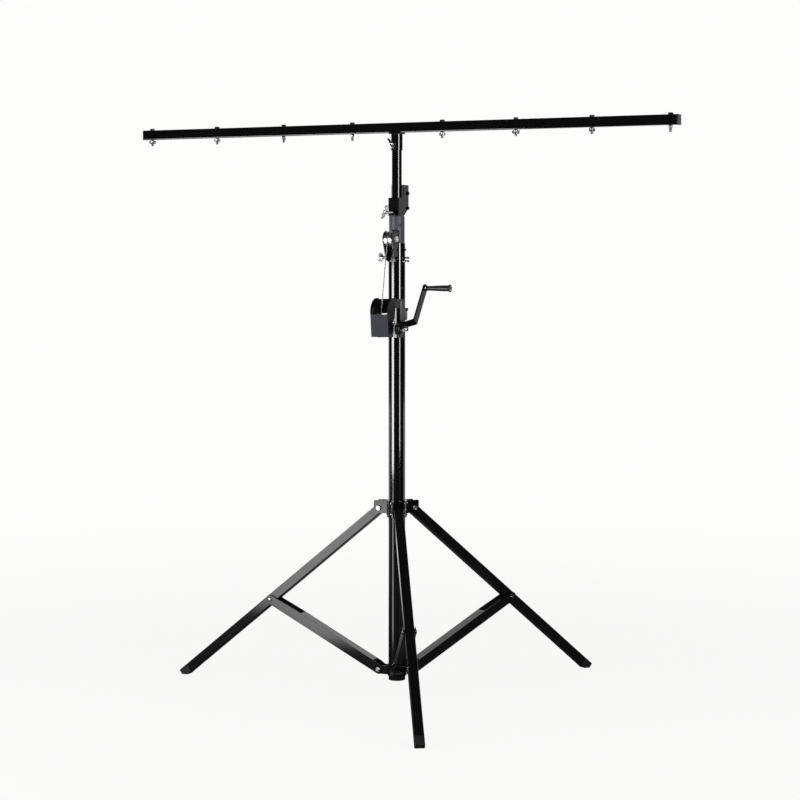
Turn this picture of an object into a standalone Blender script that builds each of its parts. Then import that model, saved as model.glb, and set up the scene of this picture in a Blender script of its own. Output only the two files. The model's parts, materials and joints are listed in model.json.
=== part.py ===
"""Crank light stand: a tripod column, a mast raised by a cable winch, and a crossbar for lamps.

Metres, +Z up. The origin is on the floor, on the column's axis. The crossbar lies along X, one leg
points along -X, and the winch hangs on the column's front, which faces -Y.
"""
import math

import bmesh
import bpy
from mathutils import Matrix, Vector

# Clearances
TOUCH = 0.0003
SHAFT_GAP = 0.0003
TUBE_GAP = 0.0003
LUG_GAP = 0.0003

# Column and masts
COLUMN_RADIUS = 0.0254
COLUMN_WALL = 0.0025
COLUMN_FOOT_Z = 0.045
COLUMN_TOP_Z = 1.360
MAST_RADIUS = 0.0185
MAST_WALL = 0.0020
MAST_FOOT_Z = 0.105
SLEEVE_RADIUS = 0.0234
SLEEVE_HEIGHT = 0.0804
INNER_RADIUS = 0.0150
INNER_WALL = 0.0015
INNER_FOOT_GAP = 0.100
INNER_EXPOSED = 0.1022
BUSH_LENGTH = 0.030
PLUG_DEPTH = 0.018
PLUG_LIP = 0.003

# Crossbar
BAR_LENGTH = 1.750
BAR_SIZE = 0.030
BAR_WALL = 0.002
BAR_CAP_LIP = 0.003
BAR_CAP_DEPTH = 0.016
BAR_BOLT_FIRST = 0.148
BAR_BOLT_INSET = 0.0235
BAR_BOLTS_PER_SIDE = 4
BAR_BOLT_RADIUS = 0.004
BAR_BOLT_REACH = 0.019
HEX_WIDTH_M8 = 0.013
HEX_HEIGHT_M8 = 0.0053
WING_NUT_HUB = 0.0062
WING_NUT_HEIGHT = 0.008
WING_NUT_SPAN = 0.023

# Socket that carries the bar
SOCKET_RADIUS = 0.0175
SOCKET_HEIGHT = 0.048
SADDLE_THICKNESS = 0.003
SADDLE_LENGTH = 0.036
SADDLE_LIP = 0.008
SOCKET_SCREW_DROP = 0.030

# Clamp screws with wings
SCREW_RADIUS = 0.004
SCREW_HUB_RADIUS = 0.0065
SCREW_WING_THICKNESS = 0.003
SCREW_BOSS_RADIUS = 0.0085
SOCKET_SCREW_REACH = 0.033
COLUMN_SCREW_REACH = 0.044
COLUMN_SCREW_DROP = 0.042
MAST_SCREW_REACH = 0.075
SOCKET_SCREW_SPAN = 0.035
COLUMN_SCREW_SPAN = 0.028
MAST_SCREW_SPAN = 0.044
COLUMN_EAR_REACH = 0.038
COLUMN_EAR_HALF = 0.008
COLUMN_EAR_THICKNESS = 0.004
COLUMN_EAR_DROPS = (0.0530, 0.0435)
COLUMN_STUB_DROP = 0.019

# Folded bracket at the top of the mast
BRACKET_WIDTH = 0.034
BRACKET_SHEET = 0.0016
BRACKET_FRONT = 0.0229
BRACKET_REAR = 0.0468
BRACKET_HEIGHT = 0.0545
BRACKET_TAB_HEIGHT = 0.0935
BRACKET_TAB_FRONT = -0.002
BRACKET_HEEL = 0.0129
BRACKET_HEEL_HEIGHT = 0.0245
NUT_BLOCK_WIDTH = 0.019
NUT_BLOCK_DEPTH = 0.0116
LATCH_THICKNESS = 0.010
LATCH_PIN_RADIUS = 0.003
LATCH_PIN_BACK = 0.0070
LATCH_PIN_DROP = 0.0245
LATCH_SLOT_LENGTH = 0.024

# Tripod
PIVOT_RADIUS = 0.053
LEG_PIVOT_Z = 0.563
KNEE_RADIUS = 0.4276
KNEE_Z = 0.2607
BRACE_PIVOT_Z = 0.0711
LEG_SIZE = 0.028
LEG_WALL = 0.0015
LEG_HEAD = 0.014
SOLE_LENGTH = 0.020
FOOT_CAP_LENGTH = 0.034
FOOT_CAP_PLUG = 0.028
COLLAR_HEIGHT = 0.050
COLLAR_RISE = 0.024
UPPER_COLLAR_RADIUS = 0.030
LOWER_COLLAR_RADIUS = 0.0282
LUG_SHEET = 0.0015
UPPER_LUG_REACH = 0.017
UPPER_LUG_DROP = 0.0150
LOWER_COLLAR_HEIGHT = 0.036
LOWER_COLLAR_RISE = 0.0205
LOWER_LUG_RADIUS = 0.0130
BRACE_SHEET = 0.0019
BRACE_EAR_GAP = 0.0005
BRACE_DROP = 0.0136
BRACE_WEB_START = 0.030
BRACE_WEB_END = 0.112
PIVOT_BOLT_RADIUS = 0.004
PIVOT_TAIL = 0.003
COLLAR_SCREW_RADIUS = 0.0034
COLLAR_SCREW_HEIGHT = 0.0020

# Winch
DRUM_Y = -0.0910
DRUM_DROP = 0.234
DRUM_CORE = 0.01985
DRUM_FLANGE = 0.0270
DRUM_FLANGE_THICKNESS = 0.002
DRUM_LEFT = -0.0210
DRUM_RIGHT = 0.0150
GEAR_MODULE = 0.0015
GEAR_TEETH = 36
PINION_TEETH = 12
GEAR_THICKNESS = 0.006
GEAR_LEFT = 0.0160
PINION_DIRECTION = math.radians(-33.7)
DRUM_AXLE_RADIUS = 0.005
SHAFT_RADIUS = 0.006
FRAME_SHEET = 0.0015
FRAME_TOP_RISE = 0.0685
FRAME_FOOT_DROP = 0.0460
FRAME_WAIST_Y = -0.0534
FRAME_UPPER_ARM = 0.0265
FRAME_LOWER_ARM = 0.0155
FRAME_FRONT_Y = -0.1130
FRAME_TOP_CORNER_Y = -0.0850
FRAME_FOOT_CORNER_Y = -0.0700
FRAME_UPPER_REAR_Y = -0.0060
FRAME_LOWER_REAR_Y = 0.0016
FRAME_WEB = 0.002
COVER_SHEET = 0.001
COVER_FRONT_TOP_Y = -0.1250
COVER_FRONT_FOOT_Y = -0.1170
COVER_REAR_TOP_Y = -0.0660
COVER_REAR_WAIST_Y = -0.0730
COVER_REAR_FOOT_Y = -0.0867
COVER_TOP_RISE = 0.0715
COVER_PANEL_RISE = 0.024
COVER_FOOT_DROP = 0.043
COVER_CORNER = 0.040
BRAKE_HUB_RADIUS = 0.0170
BRAKE_HUB_LEFT = 0.0290
HOUSING_SHEET = 0.0012
HOUSING_RIGHT = 0.0450
HOUSING_FRONT_Y = -0.0370
HOUSING_REAR_Y = -0.0220
HOUSING_TOP_RISE = 0.0420
HOUSING_SHOULDER_RISE = 0.0070
HOUSING_POINT_DROP = 0.0060
HOUSING_TAB_RISE = 0.0620
HOUSING_BOLT_RISE = 0.0375
HOUSING_BOLT_RADIUS = 0.0025

# Crank
CRANK_TILT = math.radians(35.3)
CRANK_WIDTH = 0.025
CRANK_SHEET = 0.005
CRANK_HUB_X = 0.0465
CRANK_ARM_X = 0.0815
CRANK_HUB_REACH = 0.0135
CRANK_ELBOW = 0.027
CRANK_REACH = 0.147
CRANK_NUT_HEIGHT = 0.0090
CRANK_NUT_WIDTH = 0.017
SHAFT_TAIL = 0.006
GRIP_LENGTH = 0.0785
GRIP_SMALL_RADIUS = 0.0070
GRIP_LARGE_RADIUS = 0.0090
GRIP_FLANGE_RADIUS = 0.0115
GRIP_BOLT_RADIUS = 0.003
GRIP_WASHER = 0.0026

# Cable and pulley
CABLE_RADIUS = 0.0015
CABLE_INSIDE = 0.0207
PULLEY_PITCH = 0.0223
PULLEY_RISE = 0.012
PULLEY_WIDTH = 0.0240
PULLEY_RIM = 0.0013
GROOVE_HALF_WIDTH = 0.0024
PULLEY_AXLE_RADIUS = 0.005
CHEEK_SHEET = 0.0025
CHEEK_TOP_RADIUS = 0.0250
CHEEK_WAIST_DROP = 0.0405
CHEEK_FOOT_DROP = 0.0550
CHEEK_WAIST_Y = -0.0500
CHEEK_FOOT_Y = -0.0330
CABLE_WRAP = math.radians(150)
CABLE_TURN_GAP = 0.0004
WINDING_TURNS = 3.75
WINDING_PITCH = 0.0036

# Values worked out from the sizes above
COLUMN_BORE = COLUMN_RADIUS - COLUMN_WALL
MAST_BORE = MAST_RADIUS - MAST_WALL
INNER_BORE = INNER_RADIUS - INNER_WALL
SLEEVE_FOOT_Z = COLUMN_TOP_Z + TOUCH
SLEEVE_TOP_Z = SLEEVE_FOOT_Z + SLEEVE_HEIGHT
BRACKET_FOOT_Z = SLEEVE_TOP_Z + TOUCH
SOCKET_FOOT_Z = BRACKET_FOOT_Z + BRACKET_TAB_HEIGHT + INNER_EXPOSED
SOCKET_TOP_Z = SOCKET_FOOT_Z + SOCKET_HEIGHT
SADDLE_Z = SOCKET_TOP_Z + SADDLE_THICKNESS
BAR_UNDERSIDE_Z = SADDLE_Z + TOUCH
BAR_BOLT_SPAN = BAR_LENGTH / 2 - BAR_BOLT_INSET - BAR_BOLT_FIRST
BAR_BOLT_PITCH = BAR_BOLT_SPAN / (BAR_BOLTS_PER_SIDE - 1)
INNER_TOP_Z = SOCKET_TOP_Z - TOUCH
INNER_FOOT_Z = MAST_FOOT_Z + BUSH_LENGTH + INNER_FOOT_GAP
COLUMN_SCREW_Z = COLUMN_TOP_Z - COLUMN_SCREW_DROP
COLUMN_STUB_Z = COLUMN_TOP_Z - COLUMN_STUB_DROP
PULLEY_Z = COLUMN_TOP_Z + PULLEY_RISE
CHEEK_WAIST_Z = COLUMN_TOP_Z - CHEEK_WAIST_DROP
CHEEK_FOOT_Z = COLUMN_TOP_Z - CHEEK_FOOT_DROP
DRUM_Z = COLUMN_TOP_Z - DRUM_DROP
FRAME_TOP_Z = DRUM_Z + FRAME_TOP_RISE
FRAME_BOTTOM_Z = DRUM_Z - FRAME_FOOT_DROP
COVER_TOP_Z = DRUM_Z + COVER_TOP_RISE
COVER_PANEL_TOP_Z = DRUM_Z + COVER_PANEL_RISE
COVER_FOOT_Z = DRUM_Z - COVER_FOOT_DROP
HOUSING_TOP_Z = DRUM_Z + HOUSING_TOP_RISE
HOUSING_SHOULDER_Z = DRUM_Z + HOUSING_SHOULDER_RISE
HOUSING_POINT_Z = DRUM_Z - HOUSING_POINT_DROP
HOUSING_TAB_TOP_Z = DRUM_Z + HOUSING_TAB_RISE
HOUSING_BOLT_Z = DRUM_Z + HOUSING_BOLT_RISE
LEG_ANGLE = math.atan2(LEG_PIVOT_Z - KNEE_Z, KNEE_RADIUS - PIVOT_RADIUS)
BRACE_ANGLE = math.atan2(KNEE_Z - BRACE_PIVOT_Z, KNEE_RADIUS - PIVOT_RADIUS)
BRACE_LENGTH = math.hypot(KNEE_RADIUS - PIVOT_RADIUS, KNEE_Z - BRACE_PIVOT_Z)
SOLE_DEPTH = SOLE_LENGTH * math.sin(LEG_ANGLE) * math.cos(LEG_ANGLE)
LEG_REACH = (LEG_PIVOT_Z + SOLE_DEPTH - LEG_SIZE / 2 * math.cos(LEG_ANGLE)) / math.sin(LEG_ANGLE)
LEG_AZIMUTHS = [math.radians(angle) for angle in (180, 60, -60)]
LUG_INSIDE = LEG_SIZE / 2 + LUG_GAP
LUG_OUTSIDE = LUG_INSIDE + LUG_SHEET
EAR_INSIDE = LUG_OUTSIDE + BRACE_EAR_GAP
EAR_OUTSIDE = EAR_INSIDE + BRACE_SHEET
GEAR_RADIUS = GEAR_MODULE * GEAR_TEETH / 2
PINION_RADIUS = GEAR_MODULE * PINION_TEETH / 2
SHAFT_Y = DRUM_Y + (GEAR_RADIUS + PINION_RADIUS) * math.cos(PINION_DIRECTION)
SHAFT_Z = DRUM_Z + (GEAR_RADIUS + PINION_RADIUS) * math.sin(PINION_DIRECTION)
FRAME_INSIDE = COLUMN_RADIUS + TOUCH
FRAME_OUTSIDE = FRAME_INSIDE + FRAME_SHEET
COVER_INSIDE = FRAME_OUTSIDE + TOUCH
COVER_OUTSIDE = COVER_INSIDE + COVER_SHEET
PULLEY_Y = -CABLE_INSIDE - PULLEY_PITCH
PULLEY_RADIUS = PULLEY_PITCH + PULLEY_RIM
CHEEK_INSIDE = PULLEY_WIDTH / 2 + 0.001
CHEEK_OUTSIDE = CHEEK_INSIDE + CHEEK_SHEET
WINDING_RADIUS = DRUM_CORE + TOUCH + CABLE_RADIUS
WINDING_START = -2 * CABLE_RADIUS - CABLE_TURN_GAP
PARTS = "crank_light_stand"
TOOLS = "cutters"


def clear_scene():
    """Removes what the opened file holds, and makes the two collections."""
    for obj in list(bpy.data.objects):
        bpy.data.objects.remove(obj, do_unlink=True)
    for name in (PARTS, TOOLS):
        collection = bpy.data.collections.new(name)
        bpy.context.scene.collection.children.link(collection)
    bpy.data.collections[TOOLS].hide_render = True


def finish(name, colour, roughness, metallic):
    """A plain material with the finish of a part."""
    material = bpy.data.materials.new(name)
    material.use_nodes = True
    shader = material.node_tree.nodes["Principled BSDF"]
    shader.inputs["Base Color"].default_value = (*colour, 1)
    shader.inputs["Roughness"].default_value = roughness
    shader.inputs["Metallic"].default_value = metallic
    material.diffuse_color = (*colour, 1)
    return material


def place(obj, material=None):
    """Puts an object among the parts, or among the cutters when it has no material."""
    tool = material is None
    bpy.data.collections[TOOLS if tool else PARTS].objects.link(obj)
    if tool:
        obj.hide_render = True
        obj.display_type = "WIRE"
    else:
        obj.data.materials.append(material)
    return obj


def mesh_object(name, bm, material=None):
    """An object made from a bmesh, with its normals facing out."""
    bmesh.ops.recalc_face_normals(bm, faces=bm.faces)
    mesh = bpy.data.meshes.new(name)
    bm.to_mesh(mesh)
    bm.free()
    return place(bpy.data.objects.new(name, mesh), material)


def box(name, low, high, material=None):
    """A block between two corners."""
    low, high = Vector(low), Vector(high)
    size = high - low
    bm = bmesh.new()
    matrix = Matrix.Translation((low + high) / 2) @ Matrix.Diagonal((*size, 1))
    bmesh.ops.create_cube(bm, size=1, matrix=matrix)
    return mesh_object(name, bm, material)


def rod(name, start, end, radius, material=None, sides=16, end_radius=None):
    """A round, hexagonal or tapered bar from one point to another."""
    start, end = Vector(start), Vector(end)
    turn = (end - start).to_track_quat("Z", "Y").to_matrix().to_4x4()
    bm = bmesh.new()
    bmesh.ops.create_cone(
        bm, cap_ends=True, segments=sides, radius1=radius,
        radius2=radius if end_radius is None else end_radius,
        depth=(end - start).length, matrix=Matrix.Translation((start + end) / 2) @ turn,
    )
    return mesh_object(name, bm, material)


def turned(name, profile, material=None, steps=32, axis="Z", at=(0, 0, 0)):
    """A turned piece: a closed outline of (radius, height) points, swept by a Screw modifier."""
    mesh = bpy.data.meshes.new(name)
    bm = bmesh.new()
    points = [bm.verts.new((radius, 0, height)) for radius, height in profile]
    for first, second in zip(points, points[1:]):
        bm.edges.new((first, second))
    if profile[0][0] > 0:
        bm.edges.new((points[-1], points[0]))
    bm.to_mesh(mesh)
    bm.free()
    obj = place(bpy.data.objects.new(name, mesh), material)
    obj.location = at
    if axis == "X":
        obj.rotation_euler = (0, math.pi / 2, 0)
    screw = obj.modifiers.new("sweep", "SCREW")
    screw.steps = screw.render_steps = steps
    screw.use_merge_vertices = True
    screw.merge_threshold = 0.00001
    return obj


def ring_profile(outer, inner, bottom, top):
    """The outline of a plain ring, down its outer side and up its bore."""
    return [(outer, top), (outer, bottom), (inner, bottom), (inner, top)]


def plate(name, outline, thickness, matrix, material=None):
    """A flat outline in the XY plane, made thick both ways and then moved by the matrix."""
    curve = bpy.data.curves.new(name, "CURVE")
    curve.dimensions = "2D"
    curve.fill_mode = "BOTH"
    curve.extrude = thickness / 2
    spline = curve.splines.new("POLY")
    spline.points.add(len(outline) - 1)
    for point, (x, y) in zip(spline.points, outline):
        point.co = (x, y, 0, 1)
    spline.use_cyclic_u = True
    return meshed(name, curve, matrix, material)


def wire(name, points, radius, resolution, material=None):
    """A round wire along a list of points, with closed ends."""
    curve = bpy.data.curves.new(name, "CURVE")
    curve.dimensions = "3D"
    curve.bevel_depth = radius
    curve.bevel_resolution = resolution
    curve.use_fill_caps = True
    spline = curve.splines.new("POLY")
    spline.points.add(len(points) - 1)
    for point, place_at in zip(spline.points, points):
        point.co = (*place_at, 1)
    return meshed(name, curve, Matrix.Identity(4), material)


def meshed(name, curve, matrix, material):
    """Turns a curve into a closed mesh object with the matrix applied."""
    source = bpy.data.objects.new(name + "_curve", curve)
    bpy.context.scene.collection.objects.link(source)
    depsgraph = bpy.context.evaluated_depsgraph_get()
    mesh = bpy.data.meshes.new_from_object(source.evaluated_get(depsgraph))
    bpy.data.objects.remove(source, do_unlink=True)
    bpy.data.curves.remove(curve)
    bm = bmesh.new()
    bm.from_mesh(mesh)
    bpy.data.meshes.remove(mesh)
    bmesh.ops.remove_doubles(bm, verts=bm.verts, dist=0.00001)
    bmesh.ops.transform(bm, matrix=matrix, verts=bm.verts)
    return mesh_object(name, bm, material)


def boolean(obj, tool, operation):
    """Adds a Boolean modifier."""
    modifier = obj.modifiers.new(tool.name, "BOOLEAN")
    modifier.operation = operation
    modifier.solver = "EXACT"
    modifier.object = tool
    return obj


def fuse(obj, *tools):
    """Joins shapes to an object."""
    for tool in tools:
        boolean(obj, tool, "UNION")
    return obj


def cut(obj, *tools):
    """Cuts shapes out of an object."""
    for tool in tools:
        boolean(obj, tool, "DIFFERENCE")
    return obj


def baked(obj):
    """The mesh of an object as its modifiers leave it, in its own frame."""
    depsgraph = bpy.context.evaluated_depsgraph_get()
    return bpy.data.meshes.new_from_object(obj.evaluated_get(depsgraph))


def copies(obj, places, material):
    """Replaces a pattern piece by named copies that share its final mesh."""
    mesh = baked(obj)
    bpy.data.objects.remove(obj, do_unlink=True)
    made = []
    for name, matrix in places:
        copy = bpy.data.objects.new(name, mesh)
        copy.matrix_world = matrix
        bpy.data.collections[PARTS].objects.link(copy)
        made.append(copy)
    mesh.materials.clear()
    mesh.materials.append(material)
    return made


def origin_to(obj, point):
    """Moves an object's origin to a point without moving its surface."""
    shift = Vector(point) - obj.location
    obj.data.transform(Matrix.Translation(-shift))
    obj.location = point
    return obj


def shade(obj, angle=35):
    """Smooth shading with sharp edges kept."""
    obj.data.shade_smooth()
    obj.data.set_sharp_from_angle(angle=math.radians(angle))


def side_plane(x=0.0):
    """Puts an outline of (y, z) points in the plane across X."""
    return Matrix(((0, 0, 1, x), (1, 0, 0, 0), (0, 1, 0, 0), (0, 0, 0, 1)))


def leg_frame(azimuth, height, tilt):
    """A frame at a tripod pivot: X runs along the member, Y across it, Z to its upper side."""
    spot = Matrix.Rotation(azimuth, 4, "Z") @ Matrix.Translation((PIVOT_RADIUS, 0, height))
    return spot @ Matrix.Rotation(tilt, 4, "Y")


def arc(centre, radius, start, end, steps):
    """Points along a round stretch of an outline."""
    turns = [math.radians(start + (end - start) * i / steps) for i in range(steps + 1)]
    return [(centre[0] + radius * math.cos(t), centre[1] + radius * math.sin(t)) for t in turns]


def gear_outline(teeth, module, tooth_share, tip_share, addendum, dedendum):
    """A gear's outline: four points a tooth, with thin teeth for a running gap."""
    pitch = module * teeth / 2
    outline = []
    for i in range(teeth):
        middle = 2 * math.pi * i / teeth
        for radius, share in (
            (pitch - dedendum, -tooth_share), (pitch + addendum, -tip_share),
            (pitch + addendum, tip_share), (pitch - dedendum, tooth_share),
        ):
            angle = middle + share * math.pi / teeth
            outline.append((radius * math.cos(angle), radius * math.sin(angle)))
    return outline


def wing_outline(span, height):
    """Half of a wing's outline: a rounded ear on one side of the hub."""
    lobe = span / 4
    return [(0.002, -height / 2)] + arc((span / 2 - lobe, height * 0.35), lobe, -80, 150, 8) + [
        (0.002, height / 2)]


def wing_screw(name, reach, tip, span, material):
    """A clamp screw along +Z: its tip, its shank, its hub and two wings."""
    obj = rod(name, (0, 0, tip), (0, 0, reach + 0.002), SCREW_RADIUS, material, sides=12)
    hub = rod(name + "_hub", (0, 0, reach), (0, 0, reach + 0.013), SCREW_HUB_RADIUS, sides=12,
              end_radius=SCREW_HUB_RADIUS * 0.75)
    fuse(obj, hub)
    for side in (0, math.pi):
        upright = Matrix.Rotation(side, 4, "Z") @ Matrix.Rotation(math.pi / 2, 4, "X")
        wing = plate(name + "_wing", wing_outline(span, 0.011), SCREW_WING_THICKNESS,
                     Matrix.Translation((0, 0, reach + 0.0065)) @ upright)
        fuse(obj, wing)
    return obj


def hex_bolt(name, start, end, radius, head, material, nut=True, tail=PIVOT_TAIL):
    """A hexagon bolt whose head seats outside start and whose nut seats outside end."""
    start, end = Vector(start), Vector(end)
    along = (end - start).normalized()
    width, height = head
    corner = width / 2 / math.cos(math.pi / 6)
    under_head = start - along * TOUCH
    under_nut = end + along * TOUCH
    reach = under_nut + along * (height + tail) if nut else end
    obj = rod(name, under_head - along * height / 2, reach, radius, material, sides=12)
    fuse(obj, rod(name + "_head", under_head - along * height, under_head, corner, sides=6))
    if nut:
        fuse(obj, rod(name + "_nut", under_nut, under_nut + along * height, corner, sides=6))
    return obj


def build_column(finishes):
    """The outer column with the slot for the pulley, and the plug in its lower end."""
    column = turned("outer_column",
                    ring_profile(COLUMN_RADIUS, COLUMN_BORE, COLUMN_FOOT_Z, COLUMN_TOP_Z),
                    finishes["black"], steps=40)
    slot_half = PULLEY_WIDTH / 2 + 0.001
    slot_foot = PULLEY_Z - PULLEY_RADIUS - 0.004
    cut(column, box("pulley_slot", (-slot_half, -COLUMN_RADIUS - 0.01, slot_foot),
                    (slot_half, -MAST_RADIUS + 0.002, COLUMN_TOP_Z + 0.01)))
    boss_start = -COLUMN_RADIUS + 0.0008
    boss = rod("column_screw_boss", (boss_start, 0, COLUMN_SCREW_Z),
               (-COLUMN_RADIUS - 0.0115, 0, COLUMN_SCREW_Z), SCREW_BOSS_RADIUS, sides=16)
    fuse(column, boss)
    cut(column, rod("column_screw_hole", (-COLUMN_BORE + 0.006, 0, COLUMN_SCREW_Z),
                    (-COLUMN_RADIUS - 0.02, 0, COLUMN_SCREW_Z), SCREW_RADIUS + SHAFT_GAP, sides=12))
    weld = COLUMN_RADIUS - 0.0015
    for drop in COLUMN_EAR_DROPS:
        height = COLUMN_TOP_Z - drop
        half = COLUMN_EAR_THICKNESS / 2
        fuse(column, box("column_ear", (weld, -COLUMN_EAR_HALF, height - half),
                         (COLUMN_EAR_REACH, COLUMN_EAR_HALF, height + half)))
    fuse(column, rod("column_stub", (COLUMN_RADIUS - 0.0006, 0, COLUMN_STUB_Z),
                     (COLUMN_RADIUS + 0.0055, 0, COLUMN_STUB_Z), 0.003, sides=10))
    plug_radius = COLUMN_BORE - TUBE_GAP
    turned("column_end_plug", [
        (0, COLUMN_FOOT_Z + PLUG_DEPTH), (plug_radius, COLUMN_FOOT_Z + PLUG_DEPTH),
        (plug_radius, COLUMN_FOOT_Z - TOUCH), (COLUMN_RADIUS, COLUMN_FOOT_Z - TOUCH),
        (COLUMN_RADIUS - 0.001, COLUMN_FOOT_Z - TOUCH - PLUG_LIP),
        (0, COLUMN_FOOT_Z - TOUCH - PLUG_LIP),
    ], finishes["plastic"], steps=24)


def lug_plates(name, reach, bottom, top, tip_radius, height):
    """Two upright lug plates beside each leg, from inside a collar's wall out to their tips."""
    root = COLUMN_RADIUS - 0.0015
    low = height - bottom
    high = height + top
    tip = PIVOT_RADIUS + reach
    outline = [(root, low), (tip - tip_radius, low)]
    outline += arc((tip - tip_radius, low + tip_radius), tip_radius, -80, 0, 3)
    outline += [(tip, high - 0.003), (tip - 0.003, high), (root, high)]
    plates = []
    for azimuth in LEG_AZIMUTHS:
        for side in (-1, 1):
            upright = Matrix(((1, 0, 0, 0), (0, 0, 1, side * (LUG_INSIDE + LUG_SHEET / 2)),
                              (0, 1, 0, 0), (0, 0, 0, 1)))
            plates.append(plate(name, outline, LUG_SHEET,
                                Matrix.Rotation(azimuth, 4, "Z") @ upright))
    return plates


def lug_holes(name, height):
    """Cutters for the pivot bolts, across each pair of lugs."""
    holes = []
    for azimuth in LEG_AZIMUTHS:
        turn = Matrix.Rotation(azimuth, 4, "Z")
        ends = [turn @ Vector((PIVOT_RADIUS, side * 0.03, height)) for side in (-1, 1)]
        holes.append(rod(name, *ends, PIVOT_BOLT_RADIUS + SHAFT_GAP, sides=12))
    return holes


def build_collars(finishes):
    """The fixed lower collar, the sliding upper collar and their pivot bolts."""
    inner = COLUMN_RADIUS + TUBE_GAP
    outer = UPPER_COLLAR_RADIUS
    bottom = BRACE_PIVOT_Z - LOWER_COLLAR_HEIGHT + LOWER_COLLAR_RISE
    lower = turned("lower_collar",
                   ring_profile(LOWER_COLLAR_RADIUS, inner, bottom,
                                BRACE_PIVOT_Z + LOWER_COLLAR_RISE),
                   finishes["black"], steps=36)
    fuse(lower, *lug_plates("lower_lug", LOWER_LUG_RADIUS, LOWER_LUG_RADIUS, LOWER_LUG_RADIUS,
                            LOWER_LUG_RADIUS * 0.9, BRACE_PIVOT_Z))
    cut(lower, *lug_holes("lower_lug_hole", BRACE_PIVOT_Z))
    top = LEG_PIVOT_Z + COLLAR_RISE
    upper = turned("upper_collar", ring_profile(outer, inner, top - COLLAR_HEIGHT, top),
                   finishes["black"], steps=36)
    fuse(upper, *lug_plates("upper_lug", UPPER_LUG_REACH, UPPER_LUG_DROP, COLLAR_RISE,
                            UPPER_LUG_DROP * 0.8, LEG_PIVOT_Z))
    cut(upper, *lug_holes("upper_lug_hole", LEG_PIVOT_Z))
    for azimuth in LEG_AZIMUTHS:
        for side in (-42, 42):
            turn = Matrix.Rotation(azimuth + math.radians(side), 4, "Z")
            for height in (top - 0.007, top - COLLAR_HEIGHT + 0.010):
                fuse(upper, rod("collar_screw", turn @ Vector((outer - 0.001, 0, height)),
                                turn @ Vector((outer + COLLAR_SCREW_HEIGHT, 0, height)),
                                COLLAR_SCREW_RADIUS, sides=8))
    head = (HEX_WIDTH_M8, HEX_HEIGHT_M8)
    for name, reach, height in (("leg_pivot_bolt", LUG_OUTSIDE, LEG_PIVOT_Z),
                                ("brace_pivot_bolt", EAR_OUTSIDE, BRACE_PIVOT_Z)):
        pattern = hex_bolt(name, (0, -reach, 0), (0, reach, 0), PIVOT_BOLT_RADIUS, head,
                           finishes["zinc"])
        places = [(f"{name}_{i + 1}", leg_frame(azimuth, height, 0))
                  for i, azimuth in enumerate(LEG_AZIMUTHS)]
        copies(pattern, places, finishes["zinc"])


def build_legs(finishes):
    """Three square tube legs with foot caps cut flat to the floor."""
    half = LEG_SIZE / 2
    bore = half - LEG_WALL
    tube_end = LEG_REACH - FOOT_CAP_LENGTH
    leg = box("leg", (-LEG_HEAD, -half, -half), (tube_end, half, half), finishes["black"])
    cut(leg, box("leg_bore", (-LEG_HEAD - 0.01, -bore, -bore), (tube_end + 0.01, bore, bore)))
    cut(leg, rod("leg_pivot_hole", (0, -0.03, 0), (0, 0.03, 0), PIVOT_BOLT_RADIUS + SHAFT_GAP,
                 sides=12))
    cap = box("foot_cap", (tube_end + TOUCH, -half, -half), (LEG_REACH, half, half),
              finishes["plastic"])
    bevel = cap.modifiers.new("soft_corners", "BEVEL")
    bevel.width = 0.0015
    bevel.segments = 1
    core = bore - TUBE_GAP
    fuse(cap, box("foot_cap_plug", (tube_end - FOOT_CAP_PLUG, -core, -core),
                  (tube_end + 0.004, core, core)))
    floor = box("floor_cut", (-0.2, -0.1, -0.2), (0.2, 0.1, 0))
    floor.matrix_world = leg_frame(0, LEG_PIVOT_Z, LEG_ANGLE).inverted() @ Matrix.Translation(
        (PIVOT_RADIUS + LEG_REACH * math.cos(LEG_ANGLE), 0, 0))
    cut(cap, floor)
    for pattern, name, material in ((leg, "leg", "black"), (cap, "foot_cap", "plastic")):
        places = [(f"{name}_{i + 1}", leg_frame(azimuth, LEG_PIVOT_Z, LEG_ANGLE))
                  for i, azimuth in enumerate(LEG_AZIMUTHS)]
        copies(pattern, places, finishes[material])


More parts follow.
